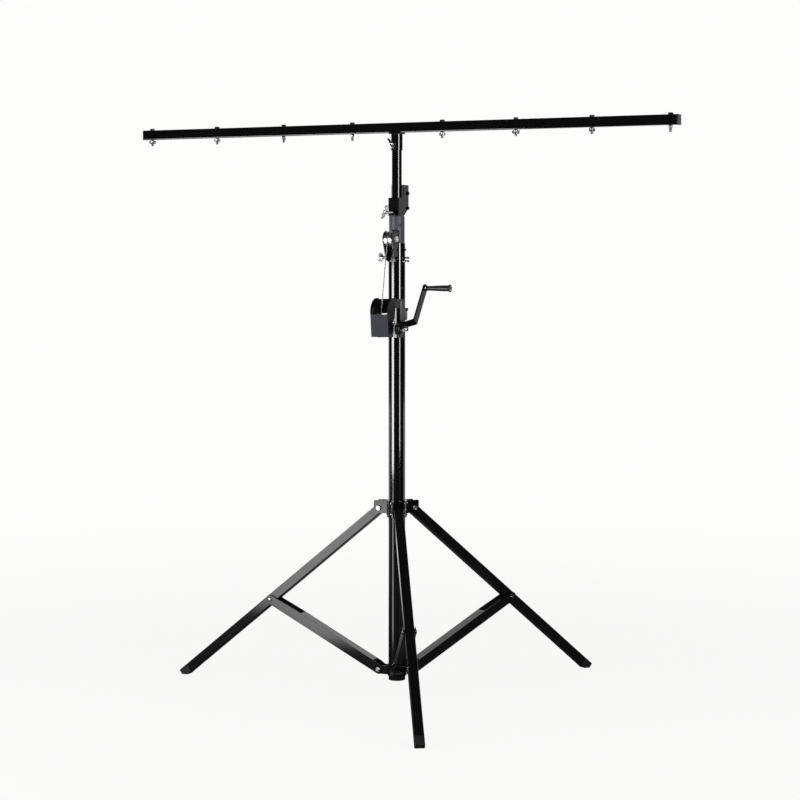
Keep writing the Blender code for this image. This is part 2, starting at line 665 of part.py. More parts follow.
def build_braces(finishes):
    """Three folded channel braces whose ears straddle the lugs and the legs."""
    rise = LEG_SIZE / 2 + BRACE_EAR_GAP + BRACE_SHEET
    ear_radius = BRACE_DROP
    outline = arc((0, 0), ear_radius, 90, 270, 8) + arc((BRACE_LENGTH, 0), ear_radius, -90, 90, 8)
    outline += [(BRACE_LENGTH - BRACE_WEB_END + 0.012, rise), (BRACE_WEB_START - 0.012, rise)]
    upright = Matrix(((1, 0, 0, 0), (0, 0, 1, 0), (0, 1, 0, 0), (0, 0, 0, 1)))
    brace = plate("brace", outline, 2 * EAR_OUTSIDE, upright, finishes["black"])
    cut(brace, box("brace_room", (-0.1, -EAR_INSIDE, -0.1),
                   (BRACE_LENGTH + 0.1, EAR_INSIDE, rise - BRACE_SHEET)),
        box("brace_low_mouth", (-0.1, -EAR_INSIDE, -0.1), (BRACE_WEB_START, EAR_INSIDE, 0.1)),
        box("brace_high_mouth", (BRACE_LENGTH - BRACE_WEB_END, -EAR_INSIDE, -0.1),
            (BRACE_LENGTH + 0.1, EAR_INSIDE, 0.1)))
    cut(brace, rod("brace_pivot_hole", (0, -0.03, 0), (0, 0.03, 0),
                   PIVOT_BOLT_RADIUS + SHAFT_GAP, sides=12))
    for side in (-1, 1):
        fuse(brace, rod("knee_rivet", (BRACE_LENGTH, side * (LEG_SIZE / 2 + TOUCH), 0),
                        (BRACE_LENGTH, side * (EAR_OUTSIDE + 0.003), 0), 0.0062, sides=12))
    places = [(f"brace_{i + 1}", leg_frame(azimuth, BRACE_PIVOT_Z, -BRACE_ANGLE))
              for i, azimuth in enumerate(LEG_AZIMUTHS)]
    copies(brace, places, finishes["black"])


def build_pulley(finishes):
    """The bracket at the column's top, and the wide pulley on its axle bolt."""
    cheek = arc((PULLEY_Y, PULLEY_Z), CHEEK_TOP_RADIUS, 0, 200, 14)
    cheek += [(CHEEK_WAIST_Y, CHEEK_WAIST_Z), (CHEEK_FOOT_Y, CHEEK_FOOT_Z)]
    back = -COLUMN_RADIUS - TOUCH
    cheek += [(back, CHEEK_FOOT_Z), (back, COLUMN_TOP_Z - 0.004)]
    bracket = plate("pulley_bracket", cheek, 2 * CHEEK_OUTSIDE, side_plane(0), finishes["black"])
    low, high = CHEEK_FOOT_Z - 0.1, PULLEY_Z + 0.1
    cut(bracket, box("cheek_room", (-CHEEK_INSIDE, -0.2, low),
                     (CHEEK_INSIDE, back - CHEEK_SHEET, high)),
        box("cheek_mouth", (-CHEEK_INSIDE, -0.2, COLUMN_TOP_Z - 0.015), (CHEEK_INSIDE, 0, high)))
    cut(bracket, rod("axle_hole", (-0.03, PULLEY_Y, PULLEY_Z), (0.03, PULLEY_Y, PULLEY_Z),
                     PULLEY_AXLE_RADIUS + SHAFT_GAP, sides=16))
    groove = PULLEY_PITCH - CABLE_RADIUS - TOUCH
    bore = PULLEY_AXLE_RADIUS + SHAFT_GAP
    half = PULLEY_WIDTH / 2
    pulley = turned("cable_pulley", [
        (PULLEY_RADIUS - 0.0006, half), (PULLEY_RADIUS, half - 0.0006),
        (PULLEY_RADIUS, GROOVE_HALF_WIDTH + 0.0006), (groove, GROOVE_HALF_WIDTH - 0.0006),
        (groove, -GROOVE_HALF_WIDTH + 0.0006), (PULLEY_RADIUS, -GROOVE_HALF_WIDTH - 0.0006),
        (PULLEY_RADIUS, -half + 0.0006), (PULLEY_RADIUS - 0.0006, -half),
        (bore, -half), (bore, half),
    ], finishes["zinc"], steps=28, axis="X", at=(0, PULLEY_Y, PULLEY_Z))
    shade(pulley)
    hex_bolt("pulley_axle", (CHEEK_OUTSIDE, PULLEY_Y, PULLEY_Z),
             (-CHEEK_OUTSIDE, PULLEY_Y, PULLEY_Z), PULLEY_AXLE_RADIUS, (0.016, 0.0064),
             finishes["zinc"])


def build_masts(finishes):
    """The middle mast with its foot, sleeve and guide, and the inner mast with its guide."""
    turned("middle_tube", ring_profile(MAST_RADIUS, MAST_BORE, MAST_FOOT_Z, SLEEVE_TOP_Z),
           finishes["black"], steps=32)
    foot_top = MAST_FOOT_Z - TOUCH
    spigot = MAST_BORE - TUBE_GAP
    foot_radius = COLUMN_BORE - TUBE_GAP
    turned("mast_foot", [
        (0, MAST_FOOT_Z + BUSH_LENGTH), (spigot, MAST_FOOT_Z + BUSH_LENGTH), (spigot, foot_top),
        (foot_radius, foot_top), (foot_radius, foot_top - 0.018), (0, foot_top - 0.018),
    ], finishes["plastic"], steps=24)
    sleeve = turned("mast_sleeve", ring_profile(SLEEVE_RADIUS, MAST_RADIUS + TUBE_GAP,
                                                SLEEVE_FOOT_Z, SLEEVE_TOP_Z),
                    finishes["grey"], steps=36)
    notch_half = CHEEK_OUTSIDE + 0.001
    cut(sleeve, box("sleeve_notch", (-notch_half, -0.05, COLUMN_TOP_Z - 0.01),
                    (notch_half, PULLEY_Y + CHEEK_TOP_RADIUS + 0.001,
                     PULLEY_Z + CHEEK_TOP_RADIUS + 0.002)))
    guide_outer = MAST_BORE - TUBE_GAP
    turned("mast_guide", ring_profile(guide_outer, INNER_RADIUS + TUBE_GAP,
                                      SLEEVE_TOP_Z - BUSH_LENGTH, SLEEVE_TOP_Z),
           finishes["plastic"], steps=24)
    turned("inner_tube", ring_profile(INNER_RADIUS, INNER_BORE, INNER_FOOT_Z, INNER_TOP_Z),
           finishes["black"], steps=32)


def build_bracket(finishes):
    """The folded clamp bracket at the mast's top, with its safety latch and clamp screw."""
    half = BRACKET_WIDTH / 2
    foot = BRACKET_FOOT_Z
    top = foot + BRACKET_HEIGHT
    tab_top = foot + BRACKET_TAB_HEIGHT
    pin_y = BRACKET_REAR - LATCH_PIN_BACK
    pin_z = tab_top - LATCH_PIN_DROP
    flank = [(-BRACKET_FRONT, foot), (BRACKET_HEEL, foot), (BRACKET_REAR, foot + BRACKET_HEEL_HEIGHT),
             (BRACKET_REAR, tab_top), (BRACKET_TAB_FRONT, tab_top), (BRACKET_TAB_FRONT, top),
             (-BRACKET_FRONT, top)]
    bracket = plate("mast_bracket", flank, BRACKET_WIDTH, side_plane(0), finishes["black"])
    room = half - BRACKET_SHEET
    cut(bracket, box("bracket_room", (-room, -BRACKET_FRONT + BRACKET_SHEET, foot + BRACKET_SHEET),
                     (room, 0.2, tab_top + 0.01)),
        box("bracket_underside", (-room, BRACKET_HEEL, foot - 0.01), (room, 0.2, top)))
    nut_foot = foot + 0.0015
    block_front = -BRACKET_FRONT - NUT_BLOCK_DEPTH
    fuse(bracket, box("nut_block", (-NUT_BLOCK_WIDTH / 2, block_front, nut_foot),
                      (NUT_BLOCK_WIDTH / 2, -BRACKET_FRONT + 0.0008, nut_foot + NUT_BLOCK_WIDTH)))
    screw_z = nut_foot + NUT_BLOCK_WIDTH / 2
    cut(bracket, rod("tube_hole", (0, 0, foot - 0.01), (0, 0, foot + 0.01),
                     INNER_RADIUS + TUBE_GAP, sides=32))
    cut(bracket, rod("clamp_hole", (0, -0.016, screw_z), (0, -0.06, screw_z),
                     SCREW_RADIUS + SHAFT_GAP, sides=12))
    slot = box("latch_slot", (0, 0.0079, tab_top - LATCH_SLOT_LENGTH - 0.008),
               (0.03, 0.0109, tab_top - 0.008))
    cut(bracket, slot)
    for y, height in ((pin_y, pin_z), (pin_y, foot + BRACKET_HEEL_HEIGHT)):
        fuse(bracket, rod("bracket_pin", (-half - 0.002, y, height), (half + 0.002, y, height),
                          LATCH_PIN_RADIUS, sides=12))
        fuse(bracket, rod("bracket_pin_head", (half - 0.0008, y, height),
                          (half + 0.0042, y, height), LATCH_PIN_RADIUS + 0.0022, sides=12))
    gap = INNER_RADIUS + 0.0010
    latch = [(gap, pin_z - 0.020), (gap + 0.006, pin_z - 0.022), (pin_y, pin_z - 0.006)]
    latch += arc((pin_y, pin_z), 0.0062, -60, 120, 6) + [(gap + 0.004, pin_z - 0.008)]
    lever = plate("safety_latch", latch, LATCH_THICKNESS, side_plane(0), finishes["zinc"])
    cut(lever, rod("latch_bore", (-0.03, pin_y, pin_z), (0.03, pin_y, pin_z),
                   LATCH_PIN_RADIUS + SHAFT_GAP, sides=12))
    origin_to(lever, (0, pin_y, pin_z))
    screw = wing_screw("mast_wing_screw", MAST_SCREW_REACH, INNER_RADIUS + TOUCH, MAST_SCREW_SPAN,
                       finishes["zinc"])
    screw_to(screw, (0, 0, screw_z), Matrix.Rotation(math.pi / 2, 4, "X"), math.radians(65))


def screw_to(obj, point, aim, twist):
    """Bakes a clamp screw, then places it with its axis aimed and its wings turned."""
    matrix = Matrix.Translation(point) @ aim @ Matrix.Rotation(twist, 4, "Z")
    copies(obj, [(obj.name, matrix)], obj.data.materials[0])


def build_bar(finishes):
    """The socket on the inner mast, the crossbar, its end caps and its lamp bolts."""
    half = BAR_SIZE / 2
    socket = turned("bar_socket", ring_profile(SOCKET_RADIUS, INNER_RADIUS + TUBE_GAP,
                                               SOCKET_FOOT_Z, SOCKET_TOP_Z + 0.001),
                    finishes["black"], steps=32)
    lip = half + TOUCH
    fuse(socket, box("saddle", (-SADDLE_LENGTH / 2, -lip - SADDLE_THICKNESS, SOCKET_TOP_Z),
                     (SADDLE_LENGTH / 2, lip + SADDLE_THICKNESS, SADDLE_Z + SADDLE_LIP)))
    cut(socket, box("saddle_channel", (-SADDLE_LENGTH, -lip, SADDLE_Z),
                    (SADDLE_LENGTH, lip, SADDLE_Z + 0.02)))
    screw_z = SOCKET_TOP_Z - SOCKET_SCREW_DROP
    fuse(socket, rod("socket_boss", (0, -SOCKET_RADIUS + 0.0009, screw_z),
                     (0, -SOCKET_RADIUS - 0.009, screw_z), SCREW_BOSS_RADIUS, sides=16))
    cut(socket, rod("socket_screw_hole", (0, -0.005, screw_z), (0, -0.05, screw_z),
                    SCREW_RADIUS + SHAFT_GAP, sides=12))
    screw = wing_screw("socket_wing_screw", SOCKET_SCREW_REACH, INNER_RADIUS + TOUCH,
                       SOCKET_SCREW_SPAN, finishes["zinc"])
    screw_to(screw, (0, 0, screw_z), Matrix.Rotation(math.pi / 2, 4, "X"), math.radians(-62))
    top = BAR_UNDERSIDE_Z + BAR_SIZE
    bar = box("cross_bar", (-BAR_LENGTH / 2, -half, BAR_UNDERSIDE_Z),
              (BAR_LENGTH / 2, half, top), finishes["black"])
    bore = half - BAR_WALL
    middle = BAR_UNDERSIDE_Z + half
    cut(bar, box("bar_bore", (-BAR_LENGTH, -bore, middle - bore), (BAR_LENGTH, bore, middle + bore)))
    core = bore - TUBE_GAP
    for name, side in (("bar_cap_left", -1), ("bar_cap_right", 1)):
        end = side * BAR_LENGTH / 2
        lip_in, lip_out = sorted((end + side * TOUCH, end + side * (TOUCH + BAR_CAP_LIP)))
        cap = box(name, (lip_in, -half, BAR_UNDERSIDE_Z), (lip_out, half, top), finishes["plastic"])
        deep, shallow = sorted((end - side * BAR_CAP_DEPTH, end + side * (TOUCH + 0.001)))
        fuse(cap, box(name + "_plug", (deep, -core, middle - core), (shallow, core, middle + core)))
    corner = HEX_WIDTH_M8 / 2 / math.cos(math.pi / 6)
    pattern = rod("lamp_bolt", (0, 0, -BAR_BOLT_REACH), (0, 0, BAR_SIZE + TOUCH + 0.001),
                  BAR_BOLT_RADIUS, finishes["zinc"], sides=12)
    fuse(pattern, rod("lamp_bolt_head", (0, 0, BAR_SIZE + TOUCH),
                      (0, 0, BAR_SIZE + TOUCH + HEX_HEIGHT_M8), corner, sides=6))
    fuse(pattern, rod("wing_nut_hub", (0, 0, -TOUCH), (0, 0, -TOUCH - WING_NUT_HEIGHT),
                      WING_NUT_HUB, sides=12, end_radius=WING_NUT_HUB * 0.8))
    for side in (0, math.pi):
        upright = Matrix.Rotation(side, 4, "Z") @ Matrix.Rotation(-math.pi / 2, 4, "X")
        fuse(pattern, plate("wing_nut_wing", wing_outline(WING_NUT_SPAN, WING_NUT_HEIGHT), 0.0024,
                            Matrix.Translation((0, 0, -TOUCH - WING_NUT_HEIGHT / 2 - 0.001)) @ upright))
    spots = [side * (BAR_BOLT_FIRST + BAR_BOLT_PITCH * i)
             for side in (-1, 1) for i in range(BAR_BOLTS_PER_SIDE)]
    spots.sort()
    for spot in spots:
        cut(bar, rod("bar_bolt_hole", (spot, 0, BAR_UNDERSIDE_Z - 0.01), (spot, 0, top + 0.01),
                     BAR_BOLT_RADIUS + SHAFT_GAP, sides=12))
    places = [(f"lamp_bolt_{i + 1}", Matrix.Translation((spot, 0, BAR_UNDERSIDE_Z))
               @ Matrix.Rotation(math.radians(20 + 37 * i), 4, "Z"))
              for i, spot in enumerate(spots)]
    copies(pattern, places, finishes["zinc"])


def frame_outline():
    """The winch frame's side: a plate with two arms that reach back beside the column."""
    upper = FRAME_TOP_Z - FRAME_UPPER_ARM
    lower = FRAME_BOTTOM_Z + FRAME_LOWER_ARM
    return [
        (FRAME_FRONT_Y + 0.004, FRAME_BOTTOM_Z + 0.008), (FRAME_FOOT_CORNER_Y, FRAME_BOTTOM_Z),
        (FRAME_LOWER_REAR_Y, FRAME_BOTTOM_Z), (FRAME_LOWER_REAR_Y, lower), (FRAME_WAIST_Y, lower),
        (FRAME_WAIST_Y, upper), (FRAME_UPPER_REAR_Y, upper), (FRAME_UPPER_REAR_Y, FRAME_TOP_Z),
        (FRAME_TOP_CORNER_Y, FRAME_TOP_Z), (FRAME_FRONT_Y, FRAME_TOP_Z - 0.024),
    ]


def cover_outline(inset):
    """The winch cover's side view, drawn in by the inset for its inner face."""
    corner = COVER_CORNER
    centre = (COVER_FRONT_TOP_Y + corner, COVER_TOP_Z - corner)
    foot = COVER_FOOT_Z - (0.01 if inset else 0)
    outline = [(COVER_FRONT_FOOT_Y + inset, foot)]
    outline += arc(centre, corner - inset, 180, 90, 8)
    return outline + [(COVER_REAR_TOP_Y, COVER_TOP_Z - inset),
                      (COVER_REAR_WAIST_Y, COVER_PANEL_TOP_Z), (COVER_REAR_FOOT_Y, foot)]


def build_winch(finishes):
    """The winch's frame, cover, drum with its winding, gear pair, shaft, brake hub and housing."""
    web_back = -COLUMN_RADIUS - TOUCH
    frame = plate("winch_frame", frame_outline(), 2 * FRAME_OUTSIDE, side_plane(0),
                  finishes["black"])
    low, high = FRAME_BOTTOM_Z - 0.1, FRAME_TOP_Z + 0.1
    cut(frame, box("frame_room", (-FRAME_INSIDE, -0.2, low), (FRAME_INSIDE, web_back - FRAME_WEB, high)),
        box("frame_rear", (-FRAME_INSIDE, web_back, low), (FRAME_INSIDE, 0.1, high)))
    for name, y, z, radius in (("drum_axle_hole", DRUM_Y, DRUM_Z, DRUM_AXLE_RADIUS),
                               ("shaft_hole", SHAFT_Y, SHAFT_Z, SHAFT_RADIUS)):
        cut(frame, rod(name, (-0.04, y, z), (0.04, y, z), radius + SHAFT_GAP, sides=16))

    cover = plate("winch_cover", cover_outline(0), 2 * COVER_OUTSIDE, side_plane(0),
                  finishes["black"])
    cut(cover, plate("cover_room", cover_outline(COVER_SHEET), 2 * COVER_INSIDE, side_plane(0)))
    cut(cover, box("cover_rear", (-COVER_INSIDE, DRUM_Y, low), (COVER_INSIDE, 0, high)))
    cut(cover, box("cover_mouth", (-COVER_INSIDE, -0.2, COVER_PANEL_TOP_Z),
                   (COVER_INSIDE, 0, high)))
    cut(cover, rod("cover_axle_hole", (-0.04, DRUM_Y, DRUM_Z), (0.04, DRUM_Y, DRUM_Z),
                   DRUM_AXLE_RADIUS + SHAFT_GAP, sides=16))
    hex_bolt("drum_axle", (-COVER_OUTSIDE, DRUM_Y, DRUM_Z), (COVER_OUTSIDE, DRUM_Y, DRUM_Z),
             DRUM_AXLE_RADIUS, (0.016, 0.0050), finishes["zinc"], tail=0.001)

    bore = DRUM_AXLE_RADIUS + SHAFT_GAP
    shoulder = DRUM_FLANGE_THICKNESS
    drum = turned("winch_drum", [
        (DRUM_FLANGE, DRUM_RIGHT), (DRUM_FLANGE, DRUM_RIGHT - shoulder),
        (DRUM_CORE, DRUM_RIGHT - shoulder), (DRUM_CORE, DRUM_LEFT + shoulder),
        (DRUM_FLANGE, DRUM_LEFT + shoulder), (DRUM_FLANGE, DRUM_LEFT),
        (bore, DRUM_LEFT), (bore, DRUM_RIGHT),
    ], finishes["zinc"], steps=28, axis="X", at=(0, DRUM_Y, DRUM_Z))
    shade(drum)
    gear = plate("drum_gear",
                 gear_outline(GEAR_TEETH, GEAR_MODULE, 0.62, 0.20, 0.0013, 0.0018),
                 GEAR_THICKNESS, side_plane(GEAR_LEFT + GEAR_THICKNESS / 2), finishes["zinc"])
    cut(gear, rod("gear_bore", (0, 0, 0), (0.04, 0, 0), bore, sides=16))
    gear.location = (0, DRUM_Y, DRUM_Z)
    bpy.context.view_layer.update()
    cut_tool = gear.modifiers[0].object
    cut_tool.location = gear.location

    pinion_left = GEAR_LEFT - 0.0005
    pinion_width = GEAR_THICKNESS + 0.001
    plate_right = CRANK_HUB_X + CRANK_SHEET / 2
    shaft_end = plate_right + TOUCH + CRANK_NUT_HEIGHT + SHAFT_TAIL
    shaft = rod("crank_shaft", (-FRAME_OUTSIDE - 0.0015, 0, 0), (shaft_end, 0, 0), SHAFT_RADIUS,
                finishes["zinc"], sides=16)
    half_tooth = PINION_DIRECTION + math.pi + math.pi / PINION_TEETH
    gear_phase = PINION_DIRECTION / (2 * math.pi / GEAR_TEETH)
    gear.rotation_euler = (PINION_DIRECTION - round(gear_phase) * 2 * math.pi / GEAR_TEETH, 0, 0)
    pinion = plate("pinion_teeth",
                   gear_outline(PINION_TEETH, GEAR_MODULE, 0.74, 0.16, 0.0013, 0.0018),
                   pinion_width, side_plane(pinion_left + pinion_width / 2)
                   @ Matrix.Rotation(half_tooth, 4, "Z"))
    fuse(shaft, pinion)
    shaft.location = (0, SHAFT_Y, SHAFT_Z)
    pinion.location = (0, SHAFT_Y, SHAFT_Z)

    hub_right = CRANK_HUB_X - CRANK_SHEET / 2 - TOUCH
    hub = turned("brake_hub", ring_profile(BRAKE_HUB_RADIUS, SHAFT_RADIUS + SHAFT_GAP,
                                           BRAKE_HUB_LEFT, hub_right),
                 finishes["dark"], steps=28, axis="X", at=(0, SHAFT_Y, SHAFT_Z))
    shade(hub)

    left = FRAME_OUTSIDE + TOUCH
    shape = [(left, HOUSING_SHOULDER_Z), ((left + HOUSING_RIGHT) / 2, HOUSING_POINT_Z),
             (HOUSING_RIGHT, HOUSING_SHOULDER_Z), (HOUSING_RIGHT, HOUSING_TOP_Z),
             (left + HOUSING_SHEET, HOUSING_TOP_Z), (left + HOUSING_SHEET, HOUSING_TAB_TOP_Z),
             (left, HOUSING_TAB_TOP_Z)]
    depth = HOUSING_REAR_Y - HOUSING_FRONT_Y
    front = Matrix(((1, 0, 0, 0), (0, 0, 1, HOUSING_FRONT_Y + depth / 2), (0, 1, 0, 0),
                    (0, 0, 0, 1)))
    housing = plate("brake_housing", shape, depth, front, finishes["black"])
    cut(housing, box("housing_room", (left + HOUSING_SHEET, HOUSING_FRONT_Y + HOUSING_SHEET, low),
                     (HOUSING_RIGHT - HOUSING_SHEET, 0.1, high)))
    bolt_y = (HOUSING_FRONT_Y + HOUSING_REAR_Y) / 2
    cut(housing, rod("housing_hole", (HOUSING_RIGHT - 0.004, bolt_y, HOUSING_BOLT_Z),
                     (HOUSING_RIGHT + 0.004, bolt_y, HOUSING_BOLT_Z),
                     HOUSING_BOLT_RADIUS + SHAFT_GAP, sides=12))
    hex_bolt("housing_bolt", (HOUSING_RIGHT, bolt_y, HOUSING_BOLT_Z),
             (HOUSING_RIGHT - HOUSING_SHEET, bolt_y, HOUSING_BOLT_Z), HOUSING_BOLT_RADIUS,
             (0.008, 0.0045), finishes["black"], tail=0.001)


def crank_point(x, reach):
    """A point of the crank, at a distance from the shaft along the crank's tilt."""
    return (x, SHAFT_Y + reach * math.sin(CRANK_TILT), SHAFT_Z + reach * math.cos(CRANK_TILT))


def build_crank(finishes):
    """The flat crank arm on the winch's shaft, its nut, and the turning grip."""
    half = CRANK_SHEET / 2
    lean = math.atan2(CRANK_ELBOW - CRANK_HUB_REACH, CRANK_ARM_X - CRANK_HUB_X)
    bend = half * math.tan((math.pi / 2 - lean) / 2)
    foot = -CRANK_WIDTH / 2 - 0.002
    tip = CRANK_REACH + CRANK_WIDTH / 2 + 0.002
    profile = [
        (CRANK_HUB_X - half, foot), (CRANK_HUB_X + half, foot),
        (CRANK_HUB_X + half, CRANK_HUB_REACH - bend),
        (CRANK_ARM_X + half, CRANK_ELBOW - bend),
        (CRANK_ARM_X + half, tip), (CRANK_ARM_X - half, tip),
        (CRANK_ARM_X - half, CRANK_ELBOW + bend),
        (CRANK_HUB_X - half, CRANK_HUB_REACH + bend),
    ]
    turn = Matrix.Rotation(-CRANK_TILT, 4, "X")
    spot = Matrix.Translation((0, SHAFT_Y, SHAFT_Z)) @ turn
    lying = Matrix(((1, 0, 0, 0), (0, 0, 1, 0), (0, 1, 0, 0), (0, 0, 0, 1)))
    arm = plate("crank_arm", profile, CRANK_WIDTH, spot @ lying, finishes["black"])
    ends = arc((0, 0), CRANK_WIDTH / 2, 180, 360, 10) + arc((0, CRANK_REACH), CRANK_WIDTH / 2, 0, 180, 10)
    outline = plate("crank_outline", ends, 0.2, spot @ side_plane(CRANK_HUB_X))
    boolean(arm, outline, "INTERSECT")
    cut(arm, rod("crank_bore", crank_point(0, 0), crank_point(0.12, 0), SHAFT_RADIUS + SHAFT_GAP,
                 sides=16))
    face = CRANK_ARM_X + half
    grip_left = face + GRIP_WASHER + TOUCH
    fuse(arm, rod("grip_washer", crank_point(face - 0.0005, CRANK_REACH),
                  crank_point(face + GRIP_WASHER, CRANK_REACH), 0.0085, sides=20))
    fuse(arm, rod("grip_bolt", crank_point(face - half, CRANK_REACH),
                  crank_point(grip_left + GRIP_LENGTH - 0.001, CRANK_REACH), GRIP_BOLT_RADIUS,
                  sides=12))
    fuse(arm, rod("grip_button", crank_point(grip_left + GRIP_LENGTH - 0.0027, CRANK_REACH),
                  crank_point(grip_left + GRIP_LENGTH - 0.0002, CRANK_REACH), 0.0078, sides=20))
    origin_to(arm, (0, SHAFT_Y, SHAFT_Z))
    right = CRANK_HUB_X + half
    nut = rod("crank_nut", crank_point(right + TOUCH, 0),
              crank_point(right + TOUCH + CRANK_NUT_HEIGHT, 0),
              CRANK_NUT_WIDTH / 2 / math.cos(math.pi / 6), finishes["zinc"], sides=6)
    cut(nut, rod("nut_bore", crank_point(0, 0), crank_point(0.12, 0), SHAFT_RADIUS + SHAFT_GAP,
                 sides=16))
    origin_to(nut, (0, SHAFT_Y, SHAFT_Z))

    bore = GRIP_BOLT_RADIUS + SHAFT_GAP
    recess = GRIP_LENGTH - 0.003
    grip = turned("crank_grip", [
        (GRIP_FLANGE_RADIUS - 0.0012, GRIP_LENGTH), (GRIP_FLANGE_RADIUS, GRIP_LENGTH - 0.0012),
        (GRIP_FLANGE_RADIUS, GRIP_LENGTH - 0.0035), (GRIP_LARGE_RADIUS, GRIP_LENGTH - 0.0065),
        (GRIP_LARGE_RADIUS * 0.97, GRIP_LENGTH * 0.62), (GRIP_SMALL_RADIUS, 0.004),
        (GRIP_SMALL_RADIUS + 0.0012, 0.0012), (GRIP_SMALL_RADIUS + 0.0006, 0), (bore, 0),
        (bore, recess), (GRIP_LARGE_RADIUS - 0.0008, recess),
        (GRIP_LARGE_RADIUS - 0.0008, GRIP_LENGTH),
    ], finishes["plastic"], steps=24, axis="X", at=crank_point(grip_left, CRANK_REACH))
    shade(grip)


def tangent_points():
    """Where the cable leaves the pulley's front and meets the drum's front, as (y, z)."""
    offset = Vector((DRUM_Y - PULLEY_Y, DRUM_Z - PULLEY_Z))
    along = offset.normalized()
    lean = math.asin((PULLEY_PITCH - WINDING_RADIUS) / offset.length)
    side = Vector((along.y, -along.x))
    normal = side * math.cos(lean) + along * math.sin(lean)
    start = Vector((PULLEY_Y, PULLEY_Z)) + normal * PULLEY_PITCH
    end = Vector((DRUM_Y, DRUM_Z)) + normal * WINDING_RADIUS
    return start, end, math.atan2(normal.y, normal.x)


def drum_point(x, turn):
    """A point of the cable where it lies on the drum."""
    return (x, DRUM_Y + WINDING_RADIUS * math.cos(turn), DRUM_Z + WINDING_RADIUS * math.sin(turn))


def build_cable(finishes):
    """The cable: over the pulley and down to the drum, down inside the column, and on the drum."""
    start, end, front = tangent_points()
    over = []
    steps = 12
    for i in range(steps + 1):
        turn = front * i / steps if front > 0 else (front + 2 * math.pi) * i / steps
        over.append((0, PULLEY_Y + PULLEY_PITCH * math.cos(turn), PULLEY_Z + PULLEY_PITCH * math.sin(turn)))
    route = over + [(0, *Vector(start).lerp(Vector(end), share)) for share in (0.25, 0.5, 0.75)]
    wraps = 10
    for i in range(wraps + 1):
        route.append(drum_point(0, front + CABLE_WRAP * i / wraps))
    wire("lift_cable", route, CABLE_RADIUS, 2, finishes["cable"])
    inner_top = PULLEY_Z - TOUCH
    wire("lift_cable_inner", [(0, -CABLE_INSIDE, inner_top), (0, -CABLE_INSIDE, MAST_FOOT_Z)],
         CABLE_RADIUS, 2, finishes["cable"])
    sides = 24
    steps = int(sides * WINDING_TURNS)
    coil = []
    for i in range(steps + 1):
        share = i / sides
        coil.append(drum_point(WINDING_START - WINDING_PITCH * share,
                               front + CABLE_WRAP + 2 * math.pi * share))
    print("least gap between the winding's turns:", round(least_gap(coil, sides), 5))
    winding = wire("cable_winding", coil, CABLE_RADIUS, 1, finishes["cable"])
    origin_to(winding, (0, DRUM_Y, DRUM_Z))


def least_gap(points, sides):
    """The smallest gap between points of the winding that lie at least half a turn apart."""
    route = [Vector(point) for point in points]
    least = min((route[i] - route[j]).length for i in range(len(route))
                for j in range(i + sides // 2, min(i + 2 * sides, len(route))))
    return least - 2 * CABLE_RADIUS


def build_column_screw(finishes):
    """The clamp screw at the column's top, which points to the column's left side."""
    screw = wing_screw("column_wing_screw", COLUMN_SCREW_REACH, MAST_RADIUS + TOUCH,
                       COLUMN_SCREW_SPAN, finishes["zinc"])
    screw_to(screw, (0, 0, COLUMN_SCREW_Z), Matrix.Rotation(-math.pi / 2, 4, "Y"), math.radians(8))


def main():
    """Builds the whole stand."""
    clear_scene()
    finishes = {
        "black": finish("black_powder_coat", (0.022, 0.022, 0.024), 0.42, 0.0),
        "grey": finish("grey_sleeve", (0.24, 0.24, 0.26), 0.5, 0.6),
        "plastic": finish("black_plastic", (0.020, 0.020, 0.021), 0.55, 0.0),
        "zinc": finish("bright_zinc", (0.72, 0.73, 0.75), 0.3, 0.9),
        "dark": finish("dark_steel", (0.05, 0.05, 0.055), 0.45, 0.7),
        "cable": finish("steel_cable", (0.55, 0.55, 0.56), 0.4, 0.8),
    }
    build_column(finishes)
    build_collars(finishes)
    build_legs(finishes)
    build_braces(finishes)
    build_pulley(finishes)
    build_masts(finishes)
    build_bracket(finishes)
    build_bar(finishes)
    build_winch(finishes)
    build_crank(finishes)
    build_cable(finishes)
    build_column_screw(finishes)


main()
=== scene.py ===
"""The looks of the crank light stand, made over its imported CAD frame.

Metres, +Z up, in the frame of the CAD: the origin is on the floor under the column, the crossbar
lies along X and the winch hangs on the column's front, which faces -Y. Each sub-assembly is a
class that holds its sizes as fields and builds its own pieces. Each finish is a Surface, which makes
one node material.
"""
from __future__ import annotations

import json
import logging
import math
from dataclasses import dataclass, field
from enum import Enum
from functools import cache
from typing import Iterable, Sequence

import bmesh
import bpy
from mathutils import Matrix, Vector

